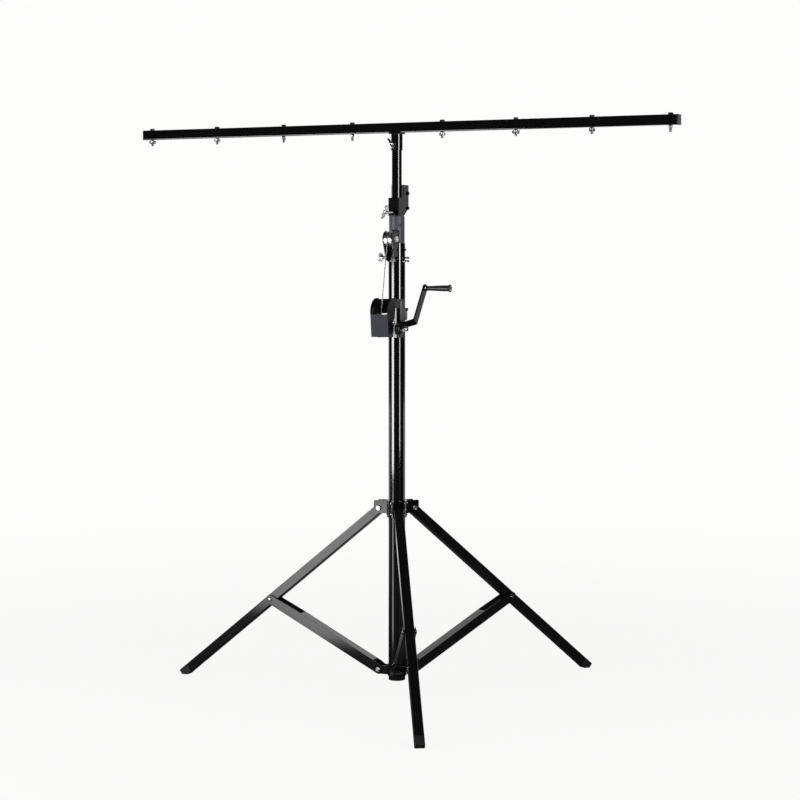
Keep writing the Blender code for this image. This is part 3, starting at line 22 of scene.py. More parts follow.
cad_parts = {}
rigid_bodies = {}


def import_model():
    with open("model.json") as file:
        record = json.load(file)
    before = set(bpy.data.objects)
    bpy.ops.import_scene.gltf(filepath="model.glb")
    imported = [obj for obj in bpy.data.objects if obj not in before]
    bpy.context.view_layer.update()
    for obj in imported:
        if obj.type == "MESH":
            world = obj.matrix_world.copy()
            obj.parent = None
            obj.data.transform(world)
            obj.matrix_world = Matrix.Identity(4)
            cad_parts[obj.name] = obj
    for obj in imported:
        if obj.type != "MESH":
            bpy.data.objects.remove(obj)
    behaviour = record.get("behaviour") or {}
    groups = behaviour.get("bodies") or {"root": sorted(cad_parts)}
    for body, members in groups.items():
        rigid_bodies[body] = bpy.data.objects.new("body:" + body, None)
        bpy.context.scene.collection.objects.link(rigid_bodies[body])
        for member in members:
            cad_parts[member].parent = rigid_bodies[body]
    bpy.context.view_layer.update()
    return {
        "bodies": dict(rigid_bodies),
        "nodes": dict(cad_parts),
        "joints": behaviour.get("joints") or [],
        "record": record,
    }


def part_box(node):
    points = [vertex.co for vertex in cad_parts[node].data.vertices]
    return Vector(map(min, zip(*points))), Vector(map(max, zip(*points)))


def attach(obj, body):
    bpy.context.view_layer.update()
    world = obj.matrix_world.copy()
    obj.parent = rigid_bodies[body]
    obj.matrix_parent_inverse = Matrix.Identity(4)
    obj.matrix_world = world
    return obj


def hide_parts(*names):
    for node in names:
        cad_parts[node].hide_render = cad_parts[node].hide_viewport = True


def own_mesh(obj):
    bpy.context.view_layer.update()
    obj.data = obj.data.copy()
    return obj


LOG = logging.getLogger("crank_light_stand")

Colour = tuple[float, float, float]
Pair = tuple[float, float]
Point = tuple[float, float, float]
Profile = Sequence[Pair]
Socket = bpy.types.NodeSocket
Value = float | Sequence[float] | Socket

CLOUD_DETAIL = 3.0
HALF_TURN = 180.0
QUARTER_TURN = 90.0
MERGE_DISTANCE = 0.000005
CAD_MERGE_DISTANCE = 0.000002
FLAT_ANGLE = 0.8
M8_HEAD = (0.013, 0.0053)
M8_PITCH = 0.00125
M10_PITCH = 0.0014
STUDIO_WHITE = (0.985, 0.985, 0.98)


class Slot(Enum):
    """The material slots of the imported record."""

    POWDER_COAT = "black_powder_coat"
    ZINC = "bright_zinc"
    PLASTIC = "black_plastic"
    CABLE = "steel_cable"
    SLEEVE = "grey_sleeve"
    DARK_STEEL = "dark_steel"


class Axis(Enum):
    """Where a piece made along Z points, as the axis and the degrees that turn it there."""

    X = ("Y", QUARTER_TURN)
    NEGATIVE_X = ("Y", -QUARTER_TURN)
    NEGATIVE_Y = ("X", QUARTER_TURN)


class Shading(Enum):
    """How a piece shades the edges between its faces, as the least angle of a sharp edge."""

    TURNED = 40
    FOLDED = 28
    CAST = 80


class Mix(Enum):
    """What a mix node mixes, as its node setting, its two inputs and its output."""

    NUMBERS = ("FLOAT", 2, 3, 0)
    COLOURS = ("RGBA", 6, 7, 2)


def move(x: float = 0, y: float = 0, z: float = 0) -> Matrix:
    """A move.

    Args:
        x: Its reach along X.
        y: Its reach along Y.
        z: Its reach along Z.

    Returns:
        The matrix.
    """
    return Matrix.Translation((x, y, z))


def turn(degrees: float, axis: str) -> Matrix:
    """A turn round an axis through the origin.

    Args:
        degrees: Its angle.
        axis: The axis, as X, Y or Z.

    Returns:
        The matrix.
    """
    return Matrix.Rotation(math.radians(degrees), 4, axis)


def toward(axis: Axis, place: Iterable[float]) -> Matrix:
    """The frame of a piece made along Z that points another way.

    Args:
        axis: Where its Z goes.
        place: Where its origin goes.

    Returns:
        The frame.
    """
    name, degrees = axis.value
    return move(*place) @ turn(degrees, name)


@dataclass(frozen=True)
class Layout:
    """Places and sizes that more than one sub-assembly uses, as the CAD has them."""

    touch: float = 0.0003
    pivot_radius: float = 0.053
    leg_pivot_height: float = 0.563
    brace_pivot_height: float = 0.0711
    knee_radius: float = 0.4276
    knee_height: float = 0.2607
    leg_directions: tuple[float, ...] = (180.0, 60.0, -60.0)
    pulley_y: float = -0.043
    pulley_height: float = 1.372
    pulley_pitch: float = 0.0223
    drum_y: float = -0.0910
    drum_height: float = 1.1260
    shaft_y: float = -0.06105
    shaft_height: float = 1.10603
    axle_bore: float = 0.0053

    @property
    def leg_angle(self) -> float:
        """The slope of a leg below the horizontal.

        Returns:
            The angle in radians.
        """
        return math.atan2(self.leg_pivot_height - self.knee_height,
                          self.knee_radius - self.pivot_radius)

    @property
    def brace_angle(self) -> float:
        """The slope of a brace above the horizontal.

        Returns:
            The angle in radians.
        """
        return math.atan2(self.knee_height - self.brace_pivot_height,
                          self.knee_radius - self.pivot_radius)

    @property
    def brace_length(self) -> float:
        """The distance between a brace's two pivots.

        Returns:
            The length.
        """
        return math.hypot(self.knee_radius - self.pivot_radius,
                          self.knee_height - self.brace_pivot_height)

    def member_frame(self, direction: float, height: float, tilt: float) -> Matrix:
        """The frame of a leg, a brace or a pivot bolt.

        Args:
            direction: The leg's direction round the column, in degrees.
            height: The pivot's height.
            tilt: The turn down from the horizontal, in radians.

        Returns:
            A matrix whose X runs along the member, Y across it and Z to its upper side.
        """
        return turn(direction, "Z") @ move(self.pivot_radius, 0, height) @ Matrix.Rotation(tilt, 4, "Y")


LAYOUT = Layout()


class Graph:
    """Adds and joins the nodes of one node tree."""

    def __init__(self, tree: bpy.types.NodeTree) -> None:
        """Starts on a tree.

        Args:
            tree: The node tree.
        """
        self.tree = tree

    def join(self, value: Value, socket: Socket) -> None:
        """Gives a socket its value.

        Args:
            value: A number, a vector, a colour, or the socket that it comes from.
            socket: The socket.
        """
        if isinstance(value, bpy.types.NodeSocket):
            self.tree.links.new(value, socket)
        elif socket.type == "RGBA":
            socket.default_value = (*value, 1)
        else:
            socket.default_value = value

    def add(self, kind: str, inputs: dict[str | int, Value], output: str | int = 0,
            **settings: str | bpy.types.NodeTree) -> Socket:
        """Adds a node.

        Args:
            kind: The node's type, without the word ShaderNode.
            inputs: The value of each input, by name or number.
            output: The output that is wanted, by name or number.
            settings: The node's own settings.

        Returns:
            The output's socket.
        """
        node = self.tree.nodes.new("ShaderNode" + kind)
        for name, setting in settings.items():
            setattr(node, name, setting)
        for name, value in inputs.items():
            self.join(value, node.inputs[name])
        return node.outputs[output]

    def noise(self, position: Socket, cells: Value, detail: Value) -> Socket:
        """Adds a cloudy pattern.

        Args:
            position: Its coordinates.
            cells: Cells a metre.
            detail: Its finer layers.

        Returns:
            The pattern, from 0 to 1.
        """
        return self.add("TexNoise", {"Vector": position, "Scale": cells, "Detail": detail}, "Fac")

    def scaled(self, value: Socket, source: Sequence[Value], target: Sequence[Value],
               way: str = "LINEAR") -> Socket:
        """Moves a value from one range to another.

        Args:
            value: The value.
            source: Its range.
            target: The new range.
            way: LINEAR, or SMOOTHSTEP to ease in and out.

        Returns:
            The moved value, kept inside the new range.
        """
        ends = dict(zip(("From Min", "From Max", "To Min", "To Max"), (*source, *target)))
        return self.add("MapRange", {"Value": value, **ends}, "Result", interpolation_type=way)

    def combine(self, operation: str, first: Socket, second: Value = 0.0) -> Socket:
        """Joins two values by a plain operation.

        Args:
            operation: The operation's name.
            first: The first value.
            second: The second value.

        Returns:
            The result.
        """
        return self.add("Math", {0: first, 1: second}, operation=operation)

    def along(self, vector: Socket, direction: Vector) -> Socket:
        """How far a vector reaches in a direction.

        Args:
            vector: The vector.
            direction: The direction.

        Returns:
            The length.
        """
        return self.add("VectorMath", {0: vector, 1: direction}, "Value", operation="DOT_PRODUCT")

    def mix(self, factor: Socket, first: Value, second: Value, kind: Mix = Mix.COLOURS) -> Socket:
        """Mixes two values.

        Args:
            factor: The share of the second value.
            first: The first value.
            second: The second value.
            kind: What they are.

        Returns:
            The mixed value.
        """
        setting, low, high, output = kind.value
        return self.add("Mix", {0: factor, low: first, high: second}, output, data_type=setting)


def effect_group(name: str, inputs: dict[str, Sequence[str]], outputs: dict[str, str]) -> Graph:
    """Starts a shader node group with its named inputs and outputs.

    Args:
        name: The group's name.
        inputs: The inputs' names by their kind.
        outputs: The output's name for each kind.

    Returns:
        The group's nodes, with an input node and an output node among them.
    """
    tree = bpy.data.node_groups.new(name, "ShaderNodeTree")
    for kind, labels in inputs.items():
        for label in labels:
            tree.interface.new_socket(label, in_out="INPUT", socket_type=f"NodeSocket{kind}")
    for kind, label in outputs.items():
        tree.interface.new_socket(label, in_out="OUTPUT", socket_type=f"NodeSocket{kind}")
    tree.nodes.new("NodeGroupInput")
    tree.nodes.new("NodeGroupOutput")
    return Graph(tree)


@cache
def cloudy_tone() -> bpy.types.NodeTree:
    """The shared effect of a colour that is uneven in soft clouds.

    Returns:
        The node group.
    """
    graph = effect_group("cloudy_tone", {"Vector": ("Position",), "Color": ("Tone", "Shade"),
                                         "Float": ("Cells", "Detail", "Start", "End")},
                         {"Color": "Colour"})
    given = graph.tree.nodes["Group Input"].outputs
    cloud = graph.noise(given["Position"], given["Cells"], given["Detail"])
    share = graph.scaled(cloud, (given["Start"], given["End"]), (0.0, 1.0))
    graph.join(graph.mix(share, given["Tone"], given["Shade"]),
               graph.tree.nodes["Group Output"].inputs["Colour"])
    return graph.tree


@cache
def fine_marks() -> bpy.types.NodeTree:
    """The shared effect of fine marks in a surface's gloss and relief.

    Returns:
        The node group.
    """
    graph = effect_group("fine_marks", {"Vector": ("Position",),
                                        "Float": ("Cells", "Detail", "Least Roughness",
                                                  "Greatest Roughness", "Height", "Strength")},
                         {"Float": "Roughness", "Vector": "Normal"})
    given = graph.tree.nodes["Group Input"].outputs
    marks = graph.noise(given["Position"], given["Cells"], given["Detail"])
    gloss = graph.scaled(marks, (0.3, 0.7), (given["Least Roughness"], given["Greatest Roughness"]))
    bump = graph.add("Bump", {"Height": marks, "Distance": given["Height"],
                              "Strength": given["Strength"]}, "Normal")
    results = graph.tree.nodes["Group Output"].inputs
    graph.join(gloss, results["Roughness"])
    graph.join(bump, results["Normal"])
    return graph.tree


@dataclass(frozen=True)
class Clouds:
    """A colour that is uneven in soft clouds: cells are clouds a metre."""

    cells: float
    tone: Colour
    shade: Colour
    spread: Pair = (0.35, 0.65)
    stretch: Point | None = None


@dataclass(frozen=True)
class Marks:
    """Fine marks in the gloss and the relief: cells are marks a metre, gloss is the roughness."""

    cells: float
    gloss: Pair
    height: float
    strength: float = 0.25
    detail: float = 2.0
    stretch: Point | None = None


@dataclass(frozen=True)
class Spots:
    """Small spots of another colour: cells are spots a metre, edge is the noise where one starts."""

    cells: float
    edge: Pair
    most: float
    colour: Colour


class MaterialNodes(Graph):
    """The nodes of one material, whose patterns lie on Object coordinates."""

    def __init__(self, name: str) -> None:
        """Starts a material.

        Args:
            name: The material's name.
        """
        self.material = bpy.data.materials.new(name)
        self.material.use_nodes = True
        super().__init__(self.material.node_tree)
        self.shader = self.tree.nodes["Principled BSDF"]
        self.position = self.add("TexCoord", {}, "Object")

    def shade(self, **values: Value) -> None:
        """Gives the shader's sockets their values.

        Args:
            values: Each socket's name, with _ for a space, and its value or pattern.
        """
        for name, value in values.items():
            self.join(value, self.shader.inputs[name.replace("_", " ")])

    def axis(self, name: str) -> Socket:
        """One of the coordinates.

        Args:
            name: The axis, as X, Y or Z.

        Returns:
            The place along it.
        """
        return self.add("SeparateXYZ", {0: self.position}, name)

    def stretched(self, scale: Point | None) -> Socket:
        """Coordinates for a pattern with a direction.

        Args:
            scale: How many times finer the pattern is along each axis, or None.

        Returns:
            The coordinates.
        """
        if scale is None:
            return self.position
        return self.add("Mapping", {"Scale": scale, "Vector": self.position}, "Vector")

    def clouds(self, clouds: Clouds) -> Socket:
        """Places the shared effect of soft clouds.

        Args:
            clouds: What it is like here.

        Returns:
            The colour.
        """
        start, end = clouds.spread
        return self.add("Group", {"Position": self.stretched(clouds.stretch), "Cells": clouds.cells,
                                  "Detail": CLOUD_DETAIL, "Start": start, "End": end,
                                  "Tone": clouds.tone, "Shade": clouds.shade},
                        "Colour", node_tree=cloudy_tone())

    def marks(self, marks: Marks) -> Socket:
        """Places the shared effect of fine marks, and joins its gloss and relief to the shader.

        Args:
            marks: What it is like here.

        Returns:
            The roughness with its marks.
        """
        least, greatest = marks.gloss
        rough = self.add("Group", {"Position": self.stretched(marks.stretch), "Cells": marks.cells,
                                   "Detail": marks.detail, "Least Roughness": least,
                                   "Greatest Roughness": greatest, "Height": marks.height,
                                   "Strength": marks.strength},
                         "Roughness", node_tree=fine_marks())
        self.shade(Roughness=rough, Normal=rough.node.outputs["Normal"])
        return rough


@dataclass(frozen=True)
class Surface:
    """A finish with a cloudy colour, fine marks, and the shader's plain numbers."""

    name: str
    slot: Slot
    clouds: Clouds
    marks: Marks
    spots: Spots | None = None
    numbers: dict[str, Value] = field(default_factory=dict)

    def material(self) -> bpy.types.Material:
        """Makes the material.

        Returns:
            The node material.
        """
        nodes = MaterialNodes(self.name)
        self.dress(nodes, nodes.clouds(self.clouds), nodes.marks(self.marks))
        nodes.shade(**self.numbers)
        return nodes.material

    def dress(self, nodes: MaterialNodes, colour: Socket, rough: Socket) -> None:
        """Joins the colour to the shader, with its spots if it has any.

        Args:
            nodes: The material's nodes.
            colour: The cloudy colour.
            rough: The roughness with its marks, not used here.
        """
        if self.spots:
            noise = nodes.noise(nodes.position, self.spots.cells, 1.0)
            share = nodes.scaled(noise, self.spots.edge, (0.0, self.spots.most))
            colour = nodes.mix(share, colour, self.spots.colour)
        nodes.shade(Base_Color=colour)


@dataclass(frozen=True)
class LampBoltPlate(Surface):
    """Dull zinc on the lamp bolts and their wing nuts, with blackened bolt heads on the bar."""

    black: Colour = (0.018, 0.018, 0.019)
    black_metal: float = 0.3
    bar_top: float = 1.7175

    def dress(self, nodes: MaterialNodes, colour: Socket, rough: Socket) -> None:
        """Blackens what lies above the bar.

        Args:
            nodes: The material's nodes.
            colour: The cloudy colour.
            rough: The roughness with its marks, not used here.
        """
        head = nodes.combine("GREATER_THAN", nodes.axis("Z"), self.bar_top)
        nodes.shade(Base_Color=nodes.mix(head, colour, self.black),
                    Metallic=nodes.scaled(head, (0.0, 1.0), (1.0, self.black_metal)))


@dataclass(frozen=True)
class WinchFrameCoat(Surface):
    """Gloss black coat on the winch's frame, with the cheeks' outside by the cover painted near white:
    partly uncoated zinc, partly a painted highlight.
    """

    # Painted highlight: this near-white, barely metallic colour is partly the cheeks' uncoated zinc and
    # partly stands in for a bright reflection.
    zinc: Colour = (0.97, 0.97, 0.98)
    zinc_and_highlight_roughness: float = 0.5
    zinc_and_highlight_metal: float = 0.1
    inner_roughness: float = 0.62
    waist_y: float = -0.0608
    arm_height: float = 1.1675
    inner_x: float = 0.0256
    outer_x: float = 0.0268
    blur: float = 0.0003

    def dress(self, nodes: MaterialNodes, colour: Socket, rough: Socket) -> None:
        """Paints the cheeks' outside by the cover near white, partly uncoated zinc and partly a painted
        highlight, and dulls the inside.

        Args:
            nodes: The material's nodes.
            colour: The cloudy colour.
            rough: The roughness with its marks.
        """
        width = nodes.combine("ABSOLUTE", nodes.axis("X"))
        cheek = nodes.combine("MULTIPLY", self._before(nodes, nodes.axis("Y"), self.waist_y),
                           self._before(nodes, nodes.axis("Z"), self.arm_height))
        outside = nodes.scaled(self._before(nodes, width, self.outer_x), (0.0, 1.0), (1.0, 0.0))
        # The mask of the near-white cheeks' outside: partly uncoated zinc, partly a painted highlight.
        zinc_and_highlight_mask = nodes.combine("MULTIPLY", cheek, outside)
        dulled = nodes.combine("MAXIMUM", rough, nodes.combine("MULTIPLY", zinc_and_highlight_mask, self.zinc_and_highlight_roughness))
        inside = nodes.combine("MULTIPLY", self._before(nodes, width, self.inner_x), self.inner_roughness)
        nodes.shade(Base_Color=nodes.mix(zinc_and_highlight_mask, colour, self.zinc),
                    Roughness=nodes.combine("MAXIMUM", dulled, inside),
                    Metallic=nodes.combine("MULTIPLY", zinc_and_highlight_mask, self.zinc_and_highlight_metal))

    def _before(self, nodes: MaterialNodes, value: Socket, limit: float) -> Socket:
        """A mask that is 1 where a value is below a limit.

        Args:
            nodes: The material's nodes.
            value: The value.
            limit: The limit.

        Returns:
            The mask.
        """
        return nodes.scaled(value, (limit - self.blur, limit + self.blur), (1.0, 0.0))


class Finish(Enum):
    """The finishes on the stand, each with the record's slot that it belongs to."""

    POWDER_COAT = Surface("black_powder_coat", Slot.POWDER_COAT,
                          Clouds(9.0, (0.0026, 0.0026, 0.0028), (0.0044, 0.0045, 0.0048)),
                          Marks(420.0, (0.05, 0.10), 0.00002, strength=0.2),
                          Spots(1300.0, (0.74, 0.80), 0.5, (0.030, 0.030, 0.032)), {"IOR": 1.75})
    COVER = Surface("black_cover_lacquer", Slot.POWDER_COAT,
                    Clouds(14.0, (0.0030, 0.0030, 0.0034), (0.0050, 0.0052, 0.0058)),
                    Marks(900.0, (0.34, 0.42), 0.00002),
                    numbers={"Specular_IOR_Level": 0.19, "Specular_Tint": (0.86, 0.91, 1.0)})
    ZINC = Surface("bright_zinc", Slot.ZINC,
                   Clouds(160.0, (0.80, 0.81, 0.83), (0.58, 0.59, 0.61), (0.35, 0.7)),
                   Marks(700.0, (0.22, 0.38), 0.00003, stretch=(1.0, 1.0, 6.0)),
                   numbers={"Metallic": 1.0})
    # Painted highlight: zinc lifted to near white and nearly non-metal, so the pulley's axle bolt shows
    # its bright glint as its own colour.
    GLINT_PAINTED_ZINC = Surface("pale_zinc", Slot.ZINC,
                        Clouds(160.0, (0.95, 0.95, 0.96), (0.82, 0.83, 0.84), (0.35, 0.7)),
                        Marks(700.0, (0.22, 0.38), 0.00003, stretch=(1.0, 1.0, 6.0)),
                        numbers={"Metallic": 0.2})
    LAMP_BOLT = LampBoltPlate("lamp_bolt_plate", Slot.ZINC,
                              Clouds(160.0, (0.46, 0.465, 0.48), (0.28, 0.285, 0.30), (0.35, 0.7)),
                              Marks(700.0, (0.30, 0.46), 0.00003))
    FRAME = WinchFrameCoat("winch_frame_coat", Slot.POWDER_COAT,
                           Clouds(12.0, (0.0040, 0.0040, 0.0042), (0.0075, 0.0076, 0.0080)),
                           Marks(600.0, (0.07, 0.14), 0.00003), numbers={"IOR": 1.6})
    # Painted light: the housing's charcoal is partly its own colour and partly lifted from black to make
    # up for light that the parts around it block.
    HOUSING = Surface("charcoal_housing", Slot.POWDER_COAT,
                      Clouds(60.0, (0.200, 0.200, 0.206), (0.160, 0.160, 0.166)),
                      Marks(800.0, (0.36, 0.48), 0.00002), numbers={"Specular_IOR_Level": 0.35})
    SLEEVE = Surface("grey_sleeve", Slot.SLEEVE,
                     Clouds(520.0, (0.105, 0.108, 0.118), (0.080, 0.082, 0.090), (0.3, 0.7),
                            (1.0, 1.0, 0.05)),
                     Marks(520.0, (0.42, 0.54), 0.00003, detail=3.0, stretch=(1.0, 1.0, 0.05)),
                     Spots(70.0, (0.55, 0.8), 0.6, (0.080, 0.082, 0.090)), {"Metallic": 0.25})
    PLASTIC = Surface("black_plastic", Slot.PLASTIC,
                      Clouds(45.0, (0.010, 0.010, 0.0105), (0.018, 0.018, 0.019)),
                      Marks(1500.0, (0.30, 0.42), 0.00004, strength=0.3, detail=1.0))
    CABLE = Surface("steel_cable", Slot.CABLE,
                    Clouds(260.0, (0.62, 0.62, 0.63), (0.34, 0.34, 0.35), (0.4, 0.7)),
                    Marks(2600.0, (0.26, 0.44), 0.00005, strength=0.5, detail=1.0),
                    numbers={"Metallic": 1.0})
    DARK_STEEL = Surface("dark_steel", Slot.DARK_STEEL,
                         Clouds(130.0, (0.010, 0.010, 0.0105), (0.022, 0.022, 0.023), (0.4, 0.7)),
                         Marks(1400.0, (0.20, 0.32), 0.00003, strength=0.2,
                               stretch=(1.0, 0.15, 0.15)),
                         numbers={"Metallic": 0.35})


@cache
def material_of(finish: Finish) -> bpy.types.Material:
    """The material of a finish, which is made once.

    Args:
        finish: The finish.

    Returns:
        Its node material.
    """
    return finish.value.material()


def put(name: str, data: bpy.types.ID) -> bpy.types.Object:
    """Puts a new object in the scene.

    Args:
        name: Its name.
        data: Its mesh, curve, lamp or camera.

    Returns:
        The object.
    """
    obj = bpy.data.objects.new(name, data)
    bpy.context.scene.collection.objects.link(obj)
    return obj


def finished_mesh(source: bpy.types.Object) -> bpy.types.Mesh:
    """The mesh that an object's curve or modifiers make. The object itself is removed.

    Args:
        source: The object.

    Returns:
        The mesh.
    """
    mesh = bpy.data.meshes.new_from_object(
        source.evaluated_get(bpy.context.evaluated_depsgraph_get()))
    bpy.data.objects.remove(source, do_unlink=True)
    return mesh


def thread_profile(radius: float, start: float, end: float, pitch: float) -> list[Pair]:
    """The side of a threaded rod, as rings of (radius, height) points from start up to end.

    Args:
        radius: The thread's outer radius.
        start: The height where it starts.
        end: The height where it ends.
        pitch: The height of one ring.

    Returns:
        The points, with a chamfer at the end.
    """
    root = radius - pitch * 0.45
    crest_end, middle, crest_start = pitch * 0.15, pitch * 0.5, pitch * 0.85
    points = [(radius, start)]
    for ring in range(max(1, int((end - start - pitch) / pitch))):
        base = start + ring * pitch
        points += [(radius, base + crest_end), (root, base + middle), (radius, base + crest_start)]
    return points + [(radius, end - pitch * 0.8), (radius - pitch * 0.7, end), (0, end)]


def spin_round(part: bmesh.types.BMesh, line: list[bmesh.types.BMVert | bmesh.types.BMEdge],
               steps: int) -> None:
    """Turns a line once round Z.

    Args:
        part: The mesh that it is in.
        line: Its points and edges.
        steps: How many faces the turned shape has round.
    """
    bmesh.ops.spin(part, geom=line, cent=(0, 0, 0), axis=(0, 0, 1), dvec=(0, 0, 0),
                   angle=2 * math.pi, steps=steps, use_merge=True, use_duplicate=False)


def round_edges(part: bmesh.types.BMesh, edges: list[bmesh.types.BMEdge], radius: float,
                segments: int) -> None:
    """Rounds edges.

    Args:
        part: The mesh that they are in.
        edges: The edges.
        radius: Their radius.
        segments: How many faces round an edge.
    """
    bmesh.ops.bevel(part, geom=edges, affect="EDGES", offset=radius, segments=segments, profile=0.5,
                    material=-1, clamp_overlap=True)


def merge(part: bmesh.types.BMesh) -> None:
    """Merges the points of a mesh that lie together and turns its faces outwards.

    Args:
        part: The mesh.
    """
    bmesh.ops.remove_doubles(part, verts=part.verts, dist=MERGE_DISTANCE)
    bmesh.ops.recalc_face_normals(part, faces=part.faces)


class Piece:
    """One piece of the stand while its mesh is made, in the stand's own frame."""

    def __init__(self, name: str) -> None:
        """Starts an empty mesh.

        Args:
            name: The piece's name.
        """
        self.name = name
        self.bm = bmesh.new()

    def adopt(self, part: bmesh.types.BMesh, matrix: Matrix | None = None) -> Piece:
        """Adds a shape to the piece and frees it.

        Args:
            part: The shape.
            matrix: Where it goes.

        Returns:
            The piece.
        """
        if matrix is not None:
            bmesh.ops.transform(part, matrix=matrix, verts=part.verts)
        mesh = bpy.data.meshes.new("shape")
        part.to_mesh(mesh)
        part.free()
        self.bm.from_mesh(mesh)
        bpy.data.meshes.remove(mesh)
        return self

    def lathe(self, profile: Profile, matrix: Matrix | None = None, steps: int = 64) -> Piece:
        """Turns a line of (radius, height) points round Z.

        Args:
            profile: The line. It is closed when it doesn't start on the axis.
            matrix: Where the turned shape goes.
            steps: How many faces it has round.

        Returns:
            The piece.
        """
        part = bmesh.new()
        points = [part.verts.new((radius, 0, height)) for radius, height in profile]
        edges = [part.edges.new(pair) for pair in zip(points, points[1:])]
        if profile[0][0] > 0:
            edges.append(part.edges.new((points[-1], points[0])))
        spin_round(part, points + edges, steps)
        merge(part)
        return self.adopt(part, matrix)

    def slab(self, low: Iterable[float], high: Iterable[float], corner: float = 0.0005,
             segments: int = 2) -> Piece:
        """A block with rounded edges.

        Args:
            low: Its lowest corner.
            high: Its highest corner.
            corner: The radius of its edges.
            segments: How many faces round an edge.

        Returns:
            The piece.
        """
        low, high = Vector(low), Vector(high)
        part = bmesh.new()
        size = Matrix.Diagonal((*(high - low), 1))
        bmesh.ops.create_cube(part, size=1, matrix=Matrix.Translation((low + high) / 2) @ size)
        round_edges(part, part.edges[:], corner, segments)
        return self.adopt(part)

    def hexagon(self, width: float, height: float, matrix: Matrix, bore: float = 0.0) -> Piece:
        """A hexagon head or nut that stands on its frame's XY plane, with the usual round chamfers.

        Args:
            width: The width across its flats.
            height: Its height.
            matrix: Where it goes.
            bore: The radius of a hollow in its top, or 0.

        Returns:
            The piece.
        """
        part = bmesh.new()
        flat = width / 2
        circle, rim, slope, drop, hollow_floor = 0.93, 0.035, 0.65, 0.03, 0.72
        ring = bmesh.ops.create_circle(part, cap_ends=True, segments=36, radius=flat)
        self._to_hexagon(ring["verts"], flat)
        face = next(iter(part.faces))
        for _ in range(2):
            grown = bmesh.ops.extrude_face_region(part, geom=[face])["geom"]
            face = next(item for item in grown if isinstance(item, bmesh.types.BMFace))
            moved = [item for item in grown if isinstance(item, bmesh.types.BMVert)]
            bmesh.ops.translate(part, verts=moved, vec=(0, 0, height * 0.5))
        for vert in face.verts:
            reach = vert.co.to_2d().length
            vert.co.z = height - (reach - flat) * slope - height * drop
        # The flat top is a circle inside the hexagon, and the chamfer's cone runs between the two.
        bmesh.ops.inset_region(part, faces=[face], thickness=width * rim, depth=0,
                               use_even_offset=True)
        for vert in face.verts:
            plane = vert.co.to_2d().normalized() * flat * circle
            vert.co = (plane.x, plane.y, height)
        if bore:
            bmesh.ops.inset_region(part, faces=[face], thickness=flat * circle - bore, depth=0,
                                   use_even_offset=False)
            for vert in face.verts:
                vert.co.z = height * hollow_floor
        if not any(item.normal.z < -0.99 for item in part.faces):
            bmesh.ops.contextual_create(part, geom=[edge for edge in part.edges if edge.is_boundary])
        bmesh.ops.recalc_face_normals(part, faces=part.faces)
        return self.adopt(part, matrix)

    @staticmethod
    def _to_hexagon(verts: Iterable[bmesh.types.BMVert], flat: float) -> None:
        """Moves a ring's points on the XY plane out onto a hexagon.

        Args:
            verts: The ring's points.
            flat: Half of the hexagon's width across its flats.
        """
        for vert in verts:
            angle = math.atan2(vert.co.y, vert.co.x)
            off_flat = (angle + math.pi / 6) % (math.pi / 3) - math.pi / 6
            reach = flat / math.cos(off_flat)
            vert.co = (reach * math.cos(angle), reach * math.sin(angle), 0.0)

    def square_bar(self, size: float, corner: float, start: float, end: float,
                   matrix: Matrix) -> Piece:
        """The open skin of a square tube with round corners, along X.

        Args:
            size: The tube's width.
            corner: The radius of its corners.
            start: Where it starts along X.
            end: Where it ends along X.
            matrix: Where it goes.

        Returns:
            The piece.
        """
        part = bmesh.new()
        block = move((start + end) / 2) @ Matrix.Diagonal((end - start, size, size, 1))
        bmesh.ops.create_cube(part, size=1, matrix=block)
        long_edges = [edge for edge in part.edges
                      if abs(edge.verts[0].co.x - edge.verts[1].co.x) > (end - start) / 2]
        round_edges(part, long_edges, corner, segments=5)
        ends = [face for face in part.faces if abs(face.normal.x) > 0.9]
        bmesh.ops.delete(part, geom=ends, context="FACES_ONLY")
        return self.adopt(part, matrix)

    def from_cad(self, mesh: bpy.types.Mesh, soften: float = 0.0004, segments: int = 2,
                 least: float = 30.0) -> Piece:
        """A merged copy of a CAD node's mesh with its sharp edges rounded.

        Args:
            mesh: The node's mesh.
            soften: The radius of its edges.
            segments: How many faces round an edge.
            least: The least angle of an edge that is rounded, in degrees.

        Returns:
            The piece.
        """
        part = bmesh.new()
        part.from_mesh(mesh)
        bmesh.ops.remove_doubles(part, verts=part.verts, dist=CAD_MERGE_DISTANCE)
        bmesh.ops.dissolve_limit(part, angle_limit=math.radians(FLAT_ANGLE), verts=part.verts[:],
                                 edges=part.edges[:], delimit={"NORMAL"})
        bmesh.ops.recalc_face_normals(part, faces=part.faces)
        sharp = [edge for edge in part.edges
                 if len(edge.link_faces) == 2 and edge.calc_face_angle(0) > math.radians(least)]
        round_edges(part, sharp, soften, segments)
        return self.adopt(part)

    def add_mesh(self, mesh: bpy.types.Mesh, matrix: Matrix) -> Piece:
        """Adds a copy of a finished mesh.

        Args:
            mesh: The mesh.
            matrix: Where the copy goes.

        Returns:
            The piece.
        """
        part = bmesh.new()
        part.from_mesh(mesh)
        return self.adopt(part, matrix)

